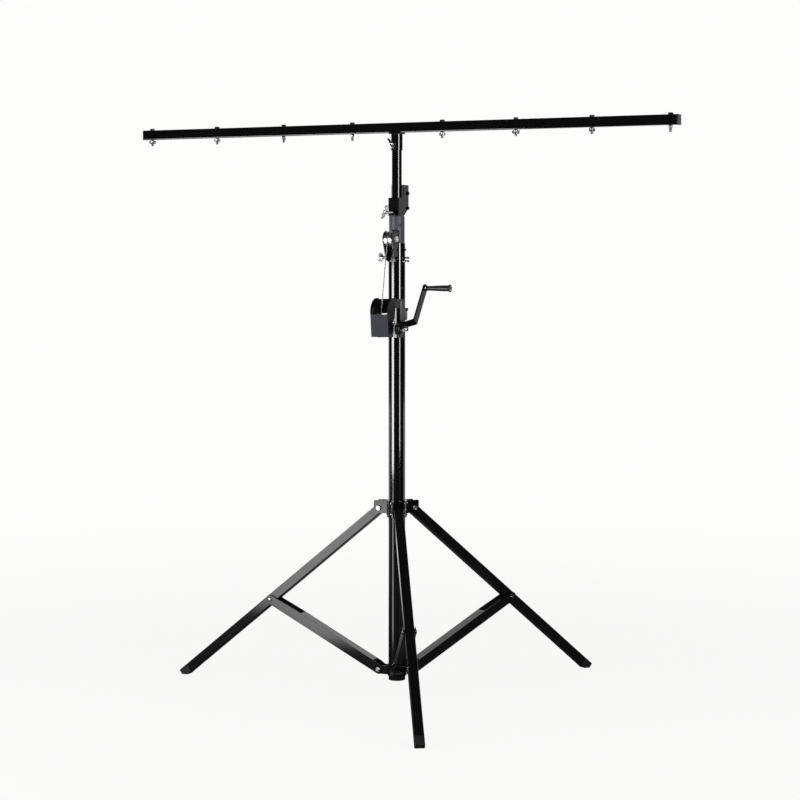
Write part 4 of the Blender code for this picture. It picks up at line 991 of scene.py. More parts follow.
    def place(self, body: str, finish: Finish, replaces: Sequence[str] = (),
              shading: Shading = Shading.FOLDED, wall: float = 0.0,
              rim: float = 0.0) -> bpy.types.Object:
        """Makes the object, dresses it and lets it ride.

        Args:
            body: The CAD body that it rides on.
            finish: Its finish.
            replaces: The CAD nodes that it stands for.
            shading: How its edges shade.
            wall: The wall that an open skin gets inwards, or 0.
            rim: The radius of the edges that the wall makes, or 0.

        Returns:
            The object.
        """
        mesh = bpy.data.meshes.new(self.name)
        self.bm.to_mesh(mesh)
        self.bm.free()
        mesh.materials.append(material_of(finish))
        mesh.shade_smooth()
        mesh.set_sharp_from_angle(angle=math.radians(shading.value))
        obj = put(self.name, mesh)
        if wall:
            solid = obj.modifiers.new("wall", "SOLIDIFY")
            solid.thickness = wall
            solid.offset = -1
            solid.use_even_offset = True
        if rim:
            bevel = obj.modifiers.new("rim", "BEVEL")
            bevel.width = rim
            bevel.segments = 2
            bevel.limit_method = "ANGLE"
            bevel.angle_limit = math.radians(50)
        if shading is not Shading.CAST:
            weighted = obj.modifiers.new("even_normals", "WEIGHTED_NORMAL")
            weighted.keep_sharp = True
        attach(obj, body)
        if replaces:
            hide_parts(*replaces)
        LOG.info("%s: %d faces on %s, finish %s", self.name, len(mesh.polygons), body, finish.name)
        return obj


@dataclass(frozen=True)
class Fastener:
    """A hexagon bolt and nut along its frame's Z, from under its head to the end of its thread."""

    radius: float
    grip: float
    head_width: float
    head_height: float
    tail: float = 0.003
    pitch: float = 0.0011

    def add(self, piece: Piece, matrix: Matrix) -> Piece:
        """Adds the bolt to a piece.

        Args:
            piece: The piece.
            matrix: Its origin is under the head, and its Z points along the shank.

        Returns:
            The piece.
        """
        seat = LAYOUT.touch
        foot = -seat - self.head_height * 0.5
        end = self.grip + seat + self.head_height + self.tail
        thread = thread_profile(self.radius, self.grip * 0.6, end, self.pitch)
        piece.hexagon(self.head_width, self.head_height, matrix @ turn(HALF_TURN, "X") @ move(z=seat),
                      bore=self.head_width * 0.27)
        piece.lathe([(0, foot), (self.radius, foot)] + thread, matrix, steps=28)
        return piece.hexagon(self.head_width, self.head_height, matrix @ move(z=self.grip + seat))


@dataclass(frozen=True)
class WingShape:
    """A cast hub with two ears, melted together as one casting."""

    span: float
    ear_radius: float
    ear_height: float
    thickness: float
    hub_radius: float
    hub_top: float
    hub_height: float
    hub_rounding: float = 0.12
    arm_root: float = 0.3
    arm_foot: float = 0.42
    arm_end: float = 0.72
    arm_flatness: float = 1.1
    voxel: float = 0.00042

    def mesh(self) -> bpy.types.Mesh:
        """Makes the casting with its hub standing on the XY plane.

        Returns:
            The mesh.
        """
        piece = Piece("wing_casting")
        edge = self.hub_height * self.hub_rounding
        piece.lathe([(0, 0), (self.hub_radius - edge, 0), (self.hub_radius, edge),
                     (self.hub_top, self.hub_height - edge), (self.hub_top - edge, self.hub_height),
                     (0, self.hub_height)], steps=40)
        for side in (1, -1):
            self._add_ear(piece, side)
        mesh = bpy.data.meshes.new("wing_casting")
        piece.bm.to_mesh(mesh)
        piece.bm.free()
        source = put("wing_casting", mesh)
        remesh = source.modifiers.new("melt", "REMESH")
        remesh.mode = "VOXEL"
        remesh.voxel_size = self.voxel
        smooth = source.modifiers.new("soften", "SMOOTH")
        smooth.factor = 0.5
        smooth.iterations = 5
        cast = finished_mesh(source)
        bpy.data.meshes.remove(mesh)
        return cast

    def _add_ear(self, piece: Piece, side: int) -> None:
        """Adds one ear and the arm that carries it.

        Args:
            piece: The casting.
            side: 1 for the ear along +X, -1 for the other.
        """
        ear, arm = bmesh.new(), bmesh.new()
        centre = Vector((side * (self.span / 2 - self.ear_radius), 0, self.ear_height))
        bmesh.ops.create_cone(ear, cap_ends=True, segments=28, radius1=self.ear_radius,
                              radius2=self.ear_radius, depth=self.thickness,
                              matrix=Matrix.Translation(centre) @ turn(QUARTER_TURN, "X"))
        root = Vector((side * self.hub_radius * self.arm_root, 0, self.hub_height * 0.5))
        along = centre - root
        aim = along.to_track_quat("Z", "Y").to_matrix().to_4x4()
        bmesh.ops.create_cone(arm, cap_ends=True, segments=16,
                              radius1=self.hub_height * self.arm_foot,
                              radius2=self.ear_radius * self.arm_end, depth=along.length,
                              matrix=Matrix.Translation((root + centre) / 2) @ aim)
        flat = Matrix.Diagonal((1, self.thickness / self.hub_height * self.arm_flatness, 1, 1))
        piece.adopt(ear).adopt(arm, flat)


@dataclass(frozen=True)
class ClampScrew:
    """A clamp screw with a winged head, from its tip to the top of its hub."""

    tip: float
    reach: float
    span: float
    twist: float
    radius: float = 0.004
    ear_share: float = 0.96
    ear_height: float = 0.0101
    ear_thickness: float = 0.0032
    hub_radius: float = 0.0065
    hub_top: float = 0.0052
    hub_height: float = 0.013

    def build(self, name: str, body: str, matrix: Matrix) -> None:
        """Builds the screw as one piece.

        Args:
            name: The CAD node that it replaces, which also names the piece.
            body: The body that it rides on.
            matrix: Its Z points out along the screw from the tube's axis.
        """
        wings = WingShape(self.span, self.span / 4 * self.ear_share, self.ear_height,
                          self.ear_thickness, self.hub_radius, self.hub_top, self.hub_height).mesh()
        shank = thread_profile(self.radius, self.tip + 0.001, self.reach + 0.004, M8_PITCH)
        piece = Piece(name + "_piece")
        piece.add_mesh(wings, matrix @ turn(self.twist, "Z") @ move(z=self.reach))
        piece.lathe([(0, self.tip), (self.radius * 0.7, self.tip)] + shank, matrix, steps=28)
        piece.place(body, Finish.ZINC, (name,), Shading.TURNED)
        bpy.data.meshes.remove(wings)


@dataclass
class Assembly:
    """A sub-assembly."""

    frame: dict

    def cad_mesh(self, node: str) -> bpy.types.Mesh:
        """The mesh of a CAD node.

        Args:
            node: The node.

        Returns:
            The mesh.
        """
        return self.frame["nodes"][node].data

    def dress(self, node: str, body: str, finish: Finish, name: str = "", **edges: float) -> None:
        """Makes a softened copy of a CAD node and places it.

        Args:
            node: The CAD node.
            body: The body that it rides on.
            finish: Its finish.
            name: The piece's name, where it isn't the node's with _piece after it.
            edges: How the copy's edges are rounded.
        """
        Piece(name or node + "_piece").from_cad(self.cad_mesh(node), **edges).place(body, finish, (node,))


@dataclass
class Column(Assembly):
    """The outer column with the pulley's slot, the screw's boss, two ears, a stub and the end plug."""

    radius: float = 0.0254
    wall: float = 0.0025
    foot: float = 0.045
    top: float = 1.360
    rim: float = 0.0004
    slot_half: float = 0.013
    slot_foot: float = 1.3444
    boss_radius: float = 0.0085
    boss_reach: float = 0.0369
    boss_bore: float = 0.0043
    screw_height: float = 1.318
    ear_heights: tuple[float, ...] = (1.307, 1.3165)
    ear_half_height: float = 0.0032
    ear_half_width: float = 0.008
    ear_reach: float = 0.0375
    stub_height: float = 1.341
    stub_radius: float = 0.003
    stub_reach: float = 0.0055

    def build(self) -> None:
        """Builds the column's pieces."""
        self._tube()
        self._boss()
        self._ears()
        self._plug()
        ClampScrew(tip=0.0188, reach=0.044, span=0.028, twist=8).build(
            "column_wing_screw", "column_screw", toward(Axis.NEGATIVE_X, (0, 0, self.screw_height)))

    def _tube(self) -> None:
        """Builds the tube: a round skin with the slot cut out, then given its wall."""
        piece = Piece("column_tube")
        bm = piece.bm
        low = bm.verts.new((self.radius, 0, self.foot))
        high = bm.verts.new((self.radius, 0, self.top))
        line = bm.edges.new((low, high))
        spin_round(bm, [low, high, line], steps=96)
        for place, normal in (((self.slot_half, 0, 0), (1, 0, 0)), ((-self.slot_half, 0, 0), (1, 0, 0)),
                              ((0, 0, self.slot_foot), (0, 0, 1))):
            bmesh.ops.bisect_plane(bm, geom=bm.verts[:] + bm.edges[:] + bm.faces[:], dist=0.00001,
                                   plane_co=place, plane_no=normal)
        slot = []
        for face in bm.faces:
            middle = face.calc_center_median()
            if abs(middle.x) < self.slot_half and middle.y < 0 and middle.z > self.slot_foot:
                slot.append(face)
        bmesh.ops.delete(bm, geom=slot, context="FACES")
        first = bm.faces[:][0]
        if first.normal.dot(first.calc_center_median() * Vector((1, 1, 0))) < 0:
            bmesh.ops.reverse_faces(bm, faces=bm.faces)
        piece.place("stand", Finish.POWDER_COAT, ("outer_column",), Shading.TURNED, self.wall, self.rim)

    def _boss(self) -> None:
        """Builds the welded boss that carries the clamp screw."""
        start, end, bore, outer = self.radius - 0.0014, self.boss_reach, self.boss_bore, self.boss_radius
        profile = [(bore, start), (outer + 0.0011, start), (outer + 0.0004, start + 0.0018),
                   (outer, start + 0.0028), (outer, end - 0.0008), (outer - 0.0008, end),
                   (bore + 0.0005, end), (bore, end - 0.0005)]
        spot = toward(Axis.NEGATIVE_X, (0, 0, self.screw_height))
        Piece("column_boss").lathe(profile, spot, steps=48).place(
            "stand", Finish.POWDER_COAT, ("outer_column",), Shading.TURNED)

    def _ears(self) -> None:
        """Builds the two flat ears and the round stub on the crank's side."""
        piece = Piece("column_ears")
        for height in self.ear_heights:
            piece.slab((self.radius - 0.0015, -self.ear_half_width, height - self.ear_half_height),
                       (self.ear_reach, self.ear_half_width, height + self.ear_half_height),
                       corner=0.0007, segments=3)
        root, end = self.radius - 0.0006, self.radius + self.stub_reach
        piece.lathe([(0, root), (self.stub_radius, root), (self.stub_radius, end - 0.0009),
                     (self.stub_radius - 0.0008, end), (0, end)],
                    toward(Axis.X, (0, 0, self.stub_height)), steps=28)
        piece.place("stand", Finish.POWDER_COAT, ("outer_column",))

    def _plug(self) -> None:
        """Builds the plug in the column's lower end."""
        low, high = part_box("column_end_plug")
        rim, seat, bore = low.z, self.foot - LAYOUT.touch, self.radius - self.wall - 0.0004
        profile = [(0, rim), (self.radius - 0.0022, rim), (self.radius - 0.0006, rim + 0.0008),
                   (self.radius, rim + 0.0018), (self.radius, seat), (bore, seat), (bore, high.z),
                   (0, high.z)]
        Piece("column_plug").lathe(profile).place("stand", Finish.PLASTIC, ("column_end_plug",),
                                                  Shading.TURNED)


@dataclass
class Tripod(Assembly):
    """The two collars, the legs with their foot caps, the braces, and their bolts and rivets."""

    leg_size: float = 0.028
    leg_wall: float = 0.0015
    leg_corner: float = 0.0028
    leg_head: float = 0.014
    leg_rim: float = 0.0003
    cap_length: float = 0.034
    lug_outside: float = 0.0158
    ear_outside: float = 0.0182
    bolt_radius: float = 0.004
    rivet_radius: float = 0.0066
    collar_radius: float = 0.030
    collar_screw_rows: tuple[float, ...] = (0.580, 0.547)
    collar_screw_turns: tuple[float, ...] = (-42.0, 42.0)

    def build(self) -> None:
        """Builds the tripod's pieces."""
        for node, body in (("lower_collar", "stand"), ("upper_collar", "tripod_collar")):
            self.dress(node, body, Finish.POWDER_COAT, soften=0.0003)
        self._collar_screws()
        for number, direction in enumerate(LAYOUT.leg_directions, start=1):
            self._leg(number, direction)
            self._brace(number, direction)
            self._pivot_bolts(number, direction)

    def _collar_screws(self) -> None:
        """Builds the bright screw heads round the upper collar."""
        piece = Piece("collar_screws")
        profile = [(0, 0), (0.0037, 0), (0.0037, 0.0012), (0.0033, 0.0020), (0.0024, 0.00255),
                   (0.0015, 0.0027), (0.0013, 0.0015), (0, 0.0015)]
        for direction in LAYOUT.leg_directions:
            for side in self.collar_screw_turns:
                for height in self.collar_screw_rows:
                    spot = toward(Axis.X, (self.collar_radius - 0.0004, 0, height))
                    piece.lathe(profile, turn(direction + side, "Z") @ spot, steps=24)
        piece.place("tripod_collar", Finish.ZINC, (), Shading.TURNED)

    def _leg(self, number: int, direction: float) -> None:
        """Builds a leg's tube and its foot cap.

        Args:
            number: The leg's number.
            direction: The leg's direction in degrees.
        """
        body, foot = f"leg_set_{number}", f"foot_cap_{number}"
        matrix = LAYOUT.member_frame(direction, LAYOUT.leg_pivot_height, LAYOUT.leg_angle)
        inward = matrix.inverted()
        reach = max((inward @ vert.co).x for vert in self.cad_mesh(foot).vertices)
        tube = Piece(f"leg_tube_{number}")
        tube.square_bar(self.leg_size, self.leg_corner, -self.leg_head, reach - self.cap_length, matrix)
        tube.place(body, Finish.POWDER_COAT, (f"leg_{number}",), wall=self.leg_wall, rim=self.leg_rim)
        self.dress(foot, body, Finish.PLASTIC, f"foot_{number}", soften=0.0011, segments=3, least=25.0)

    def _brace(self, number: int, direction: float) -> None:
        """Builds a brace and the two domed rivets at its knee.

        Args:
            number: The brace's number.
            direction: Its leg's direction in degrees.
        """
        body, radius = f"brace_set_{number}", self.rivet_radius
        self.dress(f"brace_{number}", body, Finish.POWDER_COAT, f"brace_channel_{number}")
        matrix = LAYOUT.member_frame(direction, LAYOUT.brace_pivot_height, -LAYOUT.brace_angle)
        profile = [(0, -0.001), (radius, -0.001), (radius, 0.0008), (radius * 0.93, 0.0017),
                   (radius * 0.72, 0.0026), (radius * 0.4, 0.0032), (0, 0.0034)]
        rivets = Piece(f"knee_rivets_{number}")
        for side in (-1, 1):
            spot = move(LAYOUT.brace_length, side * self.ear_outside) @ turn(-side * QUARTER_TURN, "X")
            rivets.lathe(profile, matrix @ spot, steps=32)
        rivets.place(body, Finish.ZINC, (), Shading.TURNED)

    def _pivot_bolts(self, number: int, direction: float) -> None:
        """Builds the bolts of a leg's pivot and of its brace's pivot.

        Args:
            number: The leg's number.
            direction: The leg's direction in degrees.
        """
        rows = (("leg_pivot_bolt", "tripod_collar", LAYOUT.leg_pivot_height, self.lug_outside),
                ("brace_pivot_bolt", "stand", LAYOUT.brace_pivot_height, self.ear_outside))
        for name, body, height, reach in rows:
            spot = LAYOUT.member_frame(direction, height, 0) @ move(y=-reach) @ turn(-QUARTER_TURN, "X")
            piece = Piece(f"{name}_piece_{number}")
            Fastener(self.bolt_radius, 2 * reach, *M8_HEAD).add(piece, spot)
            piece.place(body, Finish.ZINC, (f"{name}_{number}",))


@dataclass
class Masts(Assembly):
    """The middle tube with its sleeve and bushes, and the inner tube."""

    middle_radius: float = 0.0185
    middle_wall: float = 0.0020
    inner_radius: float = 0.0150
    inner_wall: float = 0.0015
    edge: float = 0.0004
    rivet_radius: float = 0.0045
    rivet_rise: float = 0.0012
    rivet_direction: float = -42.0
    rivet_height: float = 1.4140

    def build(self) -> None:
        """Builds the masts' pieces."""
        self._tube("middle_mast_tube", "middle_tube", "mast", self.middle_radius, self.middle_wall)
        self._tube("inner_mast_tube", "inner_tube", "inner_mast", self.inner_radius, self.inner_wall)
        self.dress("mast_sleeve", "mast", Finish.SLEEVE)
        self._sleeve_rivet()
        for node in ("mast_foot", "mast_guide"):
            self.dress(node, "mast", Finish.PLASTIC, soften=0.0005)

    def _tube(self, name: str, node: str, body: str, radius: float, wall: float) -> None:
        """Builds a round tube with rounded rims.

        Args:
            name: The piece's name.
            node: The CAD node that it replaces.
            body: The body that it rides on.
            radius: Its outer radius.
            wall: Its wall.
        """
        low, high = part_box(node)
        edge, bore = self.edge, radius - wall
        profile = [(radius, low.z + edge), (radius, high.z - edge), (radius - edge, high.z),
                   (bore + edge, high.z), (bore, high.z - edge), (bore, low.z + edge),
                   (bore + edge, low.z), (radius - edge, low.z)]
        Piece(name).lathe(profile, steps=80).place(body, Finish.POWDER_COAT, (node,), Shading.TURNED)

    def _sleeve_rivet(self) -> None:
        """Builds the small dark rivet that holds the sleeve on the tube."""
        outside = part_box("mast_sleeve")[1].x
        radius, rise = self.rivet_radius, self.rivet_rise
        spot = turn(self.rivet_direction, "Z") @ toward(Axis.X, (outside - rise, 0, self.rivet_height))
        profile = [(0, 0), (radius, 0), (radius, rise * 1.3), (radius * 0.8, rise * 1.75),
                   (radius * 0.4, rise * 2), (0, rise * 2)]
        Piece("sleeve_rivet").lathe(profile, spot, steps=32).place("mast", Finish.DARK_STEEL, (),
                                                                   Shading.CAST)


@dataclass
class MastBracket(Assembly):
    """The folded bracket at the middle tube's top, its safety latch and its clamp screw."""

    foot: float = 1.4407
    screw_rise: float = 0.0110

    def build(self) -> None:
        """Builds the bracket's pieces."""
        self.dress("mast_bracket", "mast", Finish.POWDER_COAT)
        self.dress("safety_latch", "latch", Finish.ZINC)
        ClampScrew(tip=0.0153, reach=0.075, span=0.044, twist=65).build(
            "mast_wing_screw", "mast_screw", toward(Axis.NEGATIVE_Y, (0, 0, self.foot + self.screw_rise)))


@dataclass
class Crossbar(Assembly):
    """The crossbar with its caps, the socket under it, and the eight lamp bolts."""

    length: float = 1.750
    size: float = 0.030
    wall: float = 0.002
    corner: float = 0.0030
    rim: float = 0.0003
    underside: float = 1.688
    socket_screw_height: float = 1.6547
    bolts_on_a_side: int = 4
    first_bolt: float = 0.148
    last_inset: float = 0.0235
    bolt_radius: float = 0.004
    bolt_reach: float = 0.019
    thread_rise: float = 0.004
    nut: WingShape = WingShape(span=0.023, ear_radius=0.0052, ear_height=0.0066, thickness=0.0026,
                               hub_radius=0.0062, hub_top=0.0050, hub_height=0.0080)
    nut_turn: float = 20.0
    nut_turn_step: float = 37.0

    def build(self) -> None:
        """Builds the crossbar's pieces."""
        half = self.length / 2
        bar = Piece("bar_tube")
        bar.square_bar(self.size, self.corner, -half, half, move(z=self.underside + self.size / 2))
        bar.place("head", Finish.POWDER_COAT, ("cross_bar",), wall=self.wall, rim=self.rim)
        for node in ("bar_cap_left", "bar_cap_right"):
            self.dress(node, "head", Finish.PLASTIC, soften=0.0010, segments=3)
        self.dress("bar_socket", "head", Finish.POWDER_COAT)
        ClampScrew(tip=0.0153, reach=0.033, span=0.035, twist=-62).build(
            "socket_wing_screw", "socket_screw",
            toward(Axis.NEGATIVE_Y, (0, 0, self.socket_screw_height)))
        self._lamp_bolts()

    def _lamp_bolts(self) -> None:
        """Builds the eight bolts, each with its wing nut under the bar."""
        pitch = (self.length / 2 - self.last_inset - self.first_bolt) / (self.bolts_on_a_side - 1)
        spots = sorted(side * (self.first_bolt + pitch * step)
                       for side in (-1, 1) for step in range(self.bolts_on_a_side))
        nut = self.nut.mesh()
        shank = [(0, -self.size), (self.bolt_radius, -self.size)]
        shank += thread_profile(self.bolt_radius, -self.thread_rise, self.bolt_reach, M8_PITCH)
        for number, spot in enumerate(spots, start=1):
            place = move(spot, 0, self.underside)
            place @= turn(self.nut_turn + self.nut_turn_step * (number - 1), "Z")
            down = place @ turn(HALF_TURN, "X")
            piece = Piece(f"lamp_bolt_piece_{number}").add_mesh(nut, down @ move(z=LAYOUT.touch))
            piece.hexagon(*M8_HEAD, place @ move(z=self.size + LAYOUT.touch))
            piece.lathe(shank, down, steps=28)
            piece.place("head", Finish.LAMP_BOLT, (f"lamp_bolt_{number}",))
        bpy.data.meshes.remove(nut)


@dataclass
class Pulley(Assembly):
    """The black bracket at the column's top, the wide pulley and its axle bolt."""

    rim: float = 0.0013
    half_width: float = 0.012
    groove_depth: float = 0.0018
    groove_half: float = 0.0024
    cheek_outside: float = 0.0155
    axle_radius: float = 0.005
    axle_head: Pair = (0.016, 0.0064)

    def build(self) -> None:
        """Builds the pulley's pieces."""
        self.dress("pulley_bracket", "stand", Finish.POWDER_COAT, soften=0.0005)
        self._wheel()
        spot = toward(Axis.NEGATIVE_X, (self.cheek_outside, LAYOUT.pulley_y, LAYOUT.pulley_height))
        axle = Fastener(self.axle_radius, 2 * self.cheek_outside, *self.axle_head, pitch=M10_PITCH)
        # The axle bolt's near-white zinc is a painted glint.
        axle.add(Piece("pulley_axle_piece"), spot).place("stand", Finish.GLINT_PAINTED_ZINC, ("pulley_axle",))

    def _wheel(self) -> None:
        """Builds the pulley: a drum with a narrow round groove, flat faces and a bore."""
        outer, bore, half = LAYOUT.pulley_pitch + self.rim, LAYOUT.axle_bore, self.half_width
        depth = outer - (LAYOUT.pulley_pitch - self.groove_depth)
        edge, dish = 0.0008, 0.0010
        face = [(bore, half), (0.0090, half), (0.0096, half - dish), (outer - 0.0044, half - dish),
                (outer - 0.0038, half), (outer - edge, half), (outer, half - edge)]
        groove = [(outer - depth * math.sin(angle), self.groove_half * math.cos(angle))
                  for angle in (math.pi * step / 8 for step in range(9))]
        back = [(radius, -height) for radius, height in reversed(face)]
        spot = toward(Axis.X, (0, LAYOUT.pulley_y, LAYOUT.pulley_height))
        Piece("pulley_wheel").lathe(face + groove + back, spot, steps=80).place(
            "pulley", Finish.ZINC, ("cable_pulley",), Shading.TURNED)


@dataclass
class Winch(Assembly):
    """The winch: frame, cover, drum with its gear, shaft, brake hub and the brake's housing."""

    core: float = 0.01985
    flange: float = 0.0270
    flange_thickness: float = 0.002
    drum_left: float = -0.0210
    drum_right: float = 0.0150
    cover_outside: float = 0.0285
    axle_radius: float = 0.005
    axle_head: Pair = (0.016, 0.0050)
    hub_radius: float = 0.0170
    hub_bore: float = 0.0063
    gusset_low: Point = (-0.0271, -0.0600, 1.1510)
    gusset_high: Point = (-0.0258, -0.0110, 1.1690)

    def build(self) -> None:
        """Builds the winch's pieces."""
        Piece("winch_frame_piece").from_cad(self.cad_mesh("winch_frame")).slab(
            self.gusset_low, self.gusset_high).place("stand", Finish.FRAME, ("winch_frame",))
        for node, finish in (("winch_cover", Finish.COVER), ("brake_housing", Finish.HOUSING),
                             ("housing_bolt", Finish.DARK_STEEL)):
            self.dress(node, "stand", finish, soften=0.0003)
        self._drum()
        for node, body in (("drum_gear", "drum"), ("crank_shaft", "crank")):
            self.dress(node, body, Finish.ZINC, soften=0.00015, segments=1, least=50.0)
        spot = toward(Axis.X, (-self.cover_outside, LAYOUT.drum_y, LAYOUT.drum_height))
        axle = Fastener(self.axle_radius, 2 * self.cover_outside, *self.axle_head, tail=0.001,
                        pitch=M10_PITCH)
        axle.add(Piece("drum_axle_piece"), spot).place("stand", Finish.ZINC, ("drum_axle",))
        self._brake_hub()

    def _drum(self) -> None:
        """Builds the drum with rounded flanges."""
        left, right, thick, edge = self.drum_left, self.drum_right, self.flange_thickness, 0.0006
        core, flange, fillet, bore = self.core, self.flange, 0.0004, LAYOUT.axle_bore
        profile = [
            (bore, right), (flange - edge, right), (flange, right - edge),
            (flange, right - thick + edge), (flange - edge, right - thick),
            (core + fillet, right - thick), (core, right - thick - fillet),
            (core, left + thick + fillet), (core + fillet, left + thick),
            (flange - edge, left + thick), (flange, left + thick - edge),
            (flange, left + edge), (flange - edge, left), (bore, left),
        ]
        spot = toward(Axis.X, (0, LAYOUT.drum_y, LAYOUT.drum_height))
        Piece("drum_spool").lathe(profile, spot, steps=80).place(
            "drum", Finish.ZINC, ("winch_drum",), Shading.TURNED)

    def _brake_hub(self) -> None:
        """Builds the round brake hub with two turned grooves."""
        low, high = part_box("brake_hub")
        left, right, outer, edge, groove = low.x, high.x, self.hub_radius, 0.0009, 0.0007
        profile = [(self.hub_bore, left), (outer - edge, left), (outer, left + edge)]
        for share in (0.36, 0.64):
            middle = left + (right - left) * share
            profile += [(outer, middle - groove), (outer - groove, middle), (outer, middle + groove)]
        profile += [(outer, right - edge), (outer - edge, right), (self.hub_bore, right)]
        spot = toward(Axis.X, (0, LAYOUT.shaft_y, LAYOUT.shaft_height))
        Piece("brake_hub_piece").lathe(profile, spot, steps=72).place(
            "crank", Finish.DARK_STEEL, ("brake_hub",), Shading.TURNED)


@dataclass
class Crank(Assembly):
    """The joggled crank arm, its nut, and the turning grip with its washer and end button."""

    tilt: float = 35.3
    reach: float = 0.147
    arm_face: float = 0.084
    nut_start: float = 0.0493
    nut_size: Pair = (0.017, 0.009)
    thread_radius: float = 0.0061
    thread_length: float = 0.006
    grip_length: float = 0.0785
    grip_waist: float = 0.0070
    grip_swell: float = 0.0090
    grip_flange: float = 0.0115
    grip_bore: float = 0.0033
    washer: float = 0.0026

    def _spot(self, x: float, reach: float) -> Matrix:
        """The frame of a piece that points along X from a point of the crank.

        Args:
            x: The point's place along X.
            reach: Its distance from the shaft along the arm.

        Returns:
            The frame.
        """
        tilt = math.radians(self.tilt)
        return toward(Axis.X, (x, LAYOUT.shaft_y + reach * math.sin(tilt),
                               LAYOUT.shaft_height + reach * math.cos(tilt)))

    def build(self) -> None:
        """Builds the crank's pieces."""
        self.dress("crank_arm", "crank", Finish.POWDER_COAT, soften=0.0007, segments=3)
        end, radius = self.nut_start + self.nut_size[1], self.thread_radius
        thread = thread_profile(radius, end, end + self.thread_length, M8_PITCH)
        nut = Piece("crank_nut_piece").hexagon(*self.nut_size, self._spot(self.nut_start, 0))
        nut.lathe([(0, end - 0.001), (radius, end - 0.001)] + thread, self._spot(0, 0), steps=32)
        nut.place("crank", Finish.ZINC, ("crank_nut",))
        self._grip_metal()
        self._grip()

    def _grip_metal(self) -> None:
        """Builds the bright washer at the grip's foot and the bright button in its end."""
        spot = self._spot(self.arm_face, self.reach)
        thick = self.washer
        top = thick + LAYOUT.touch + self.grip_length
        piece = Piece("grip_metal")
        piece.lathe([(0.003, 0.0), (0.0083, 0.0), (0.0088, 0.0006), (0.0088, thick - 0.0005),
                     (0.0083, thick), (0.003, thick)], spot, steps=48)
        piece.lathe([(0, top - 0.0028), (0.0079, top - 0.0028), (0.0079, top - 0.0007),
                     (0.0072, top - 0.0001), (0.0048, top + 0.0002), (0.0044, top - 0.0005),
                     (0, top - 0.0007)], spot, steps=48)
        piece.place("crank", Finish.ZINC, (), Shading.TURNED)

    def _grip(self) -> None:
        """Builds the turned grip with its waist, swell and end flange."""
        small, large, flange = self.grip_waist, self.grip_swell, self.grip_flange
        long, bore, neck, tail, waves = self.grip_length, self.grip_bore, 0.0042, 0.0075, 13
        outer = [(small - 0.0002, 0.0), (small + 0.0009, 0.0005), (small + 0.0012, 0.0014),
                 (small + 0.0010, 0.0026), (small, neck)]
        for step in range(1, waves):
            share = step / waves
            swell = 0.5 - 0.5 * math.cos(math.pi * min(1.0, share * 1.25))
            outer.append((small + (large - small) * swell, neck + (long - neck - tail) * share))
        outer += [(large, long - tail), (large + 0.0006, long - 0.0060),
                  (flange - 0.0006, long - 0.0042), (flange, long - 0.0032), (flange, long - 0.0012),
                  (flange - 0.0004, long - 0.0004), (flange - 0.0012, long), (0.0086, long),
                  (0.0082, long - 0.0006), (0.0082, long - 0.003), (bore, long - 0.003), (bore, 0.0)]
        spot = self._spot(self.arm_face + self.washer + LAYOUT.touch, self.reach)
        Piece("grip_handle").lathe(outer, spot, steps=72).place(
            "grip", Finish.PLASTIC, ("crank_grip",), Shading.TURNED)


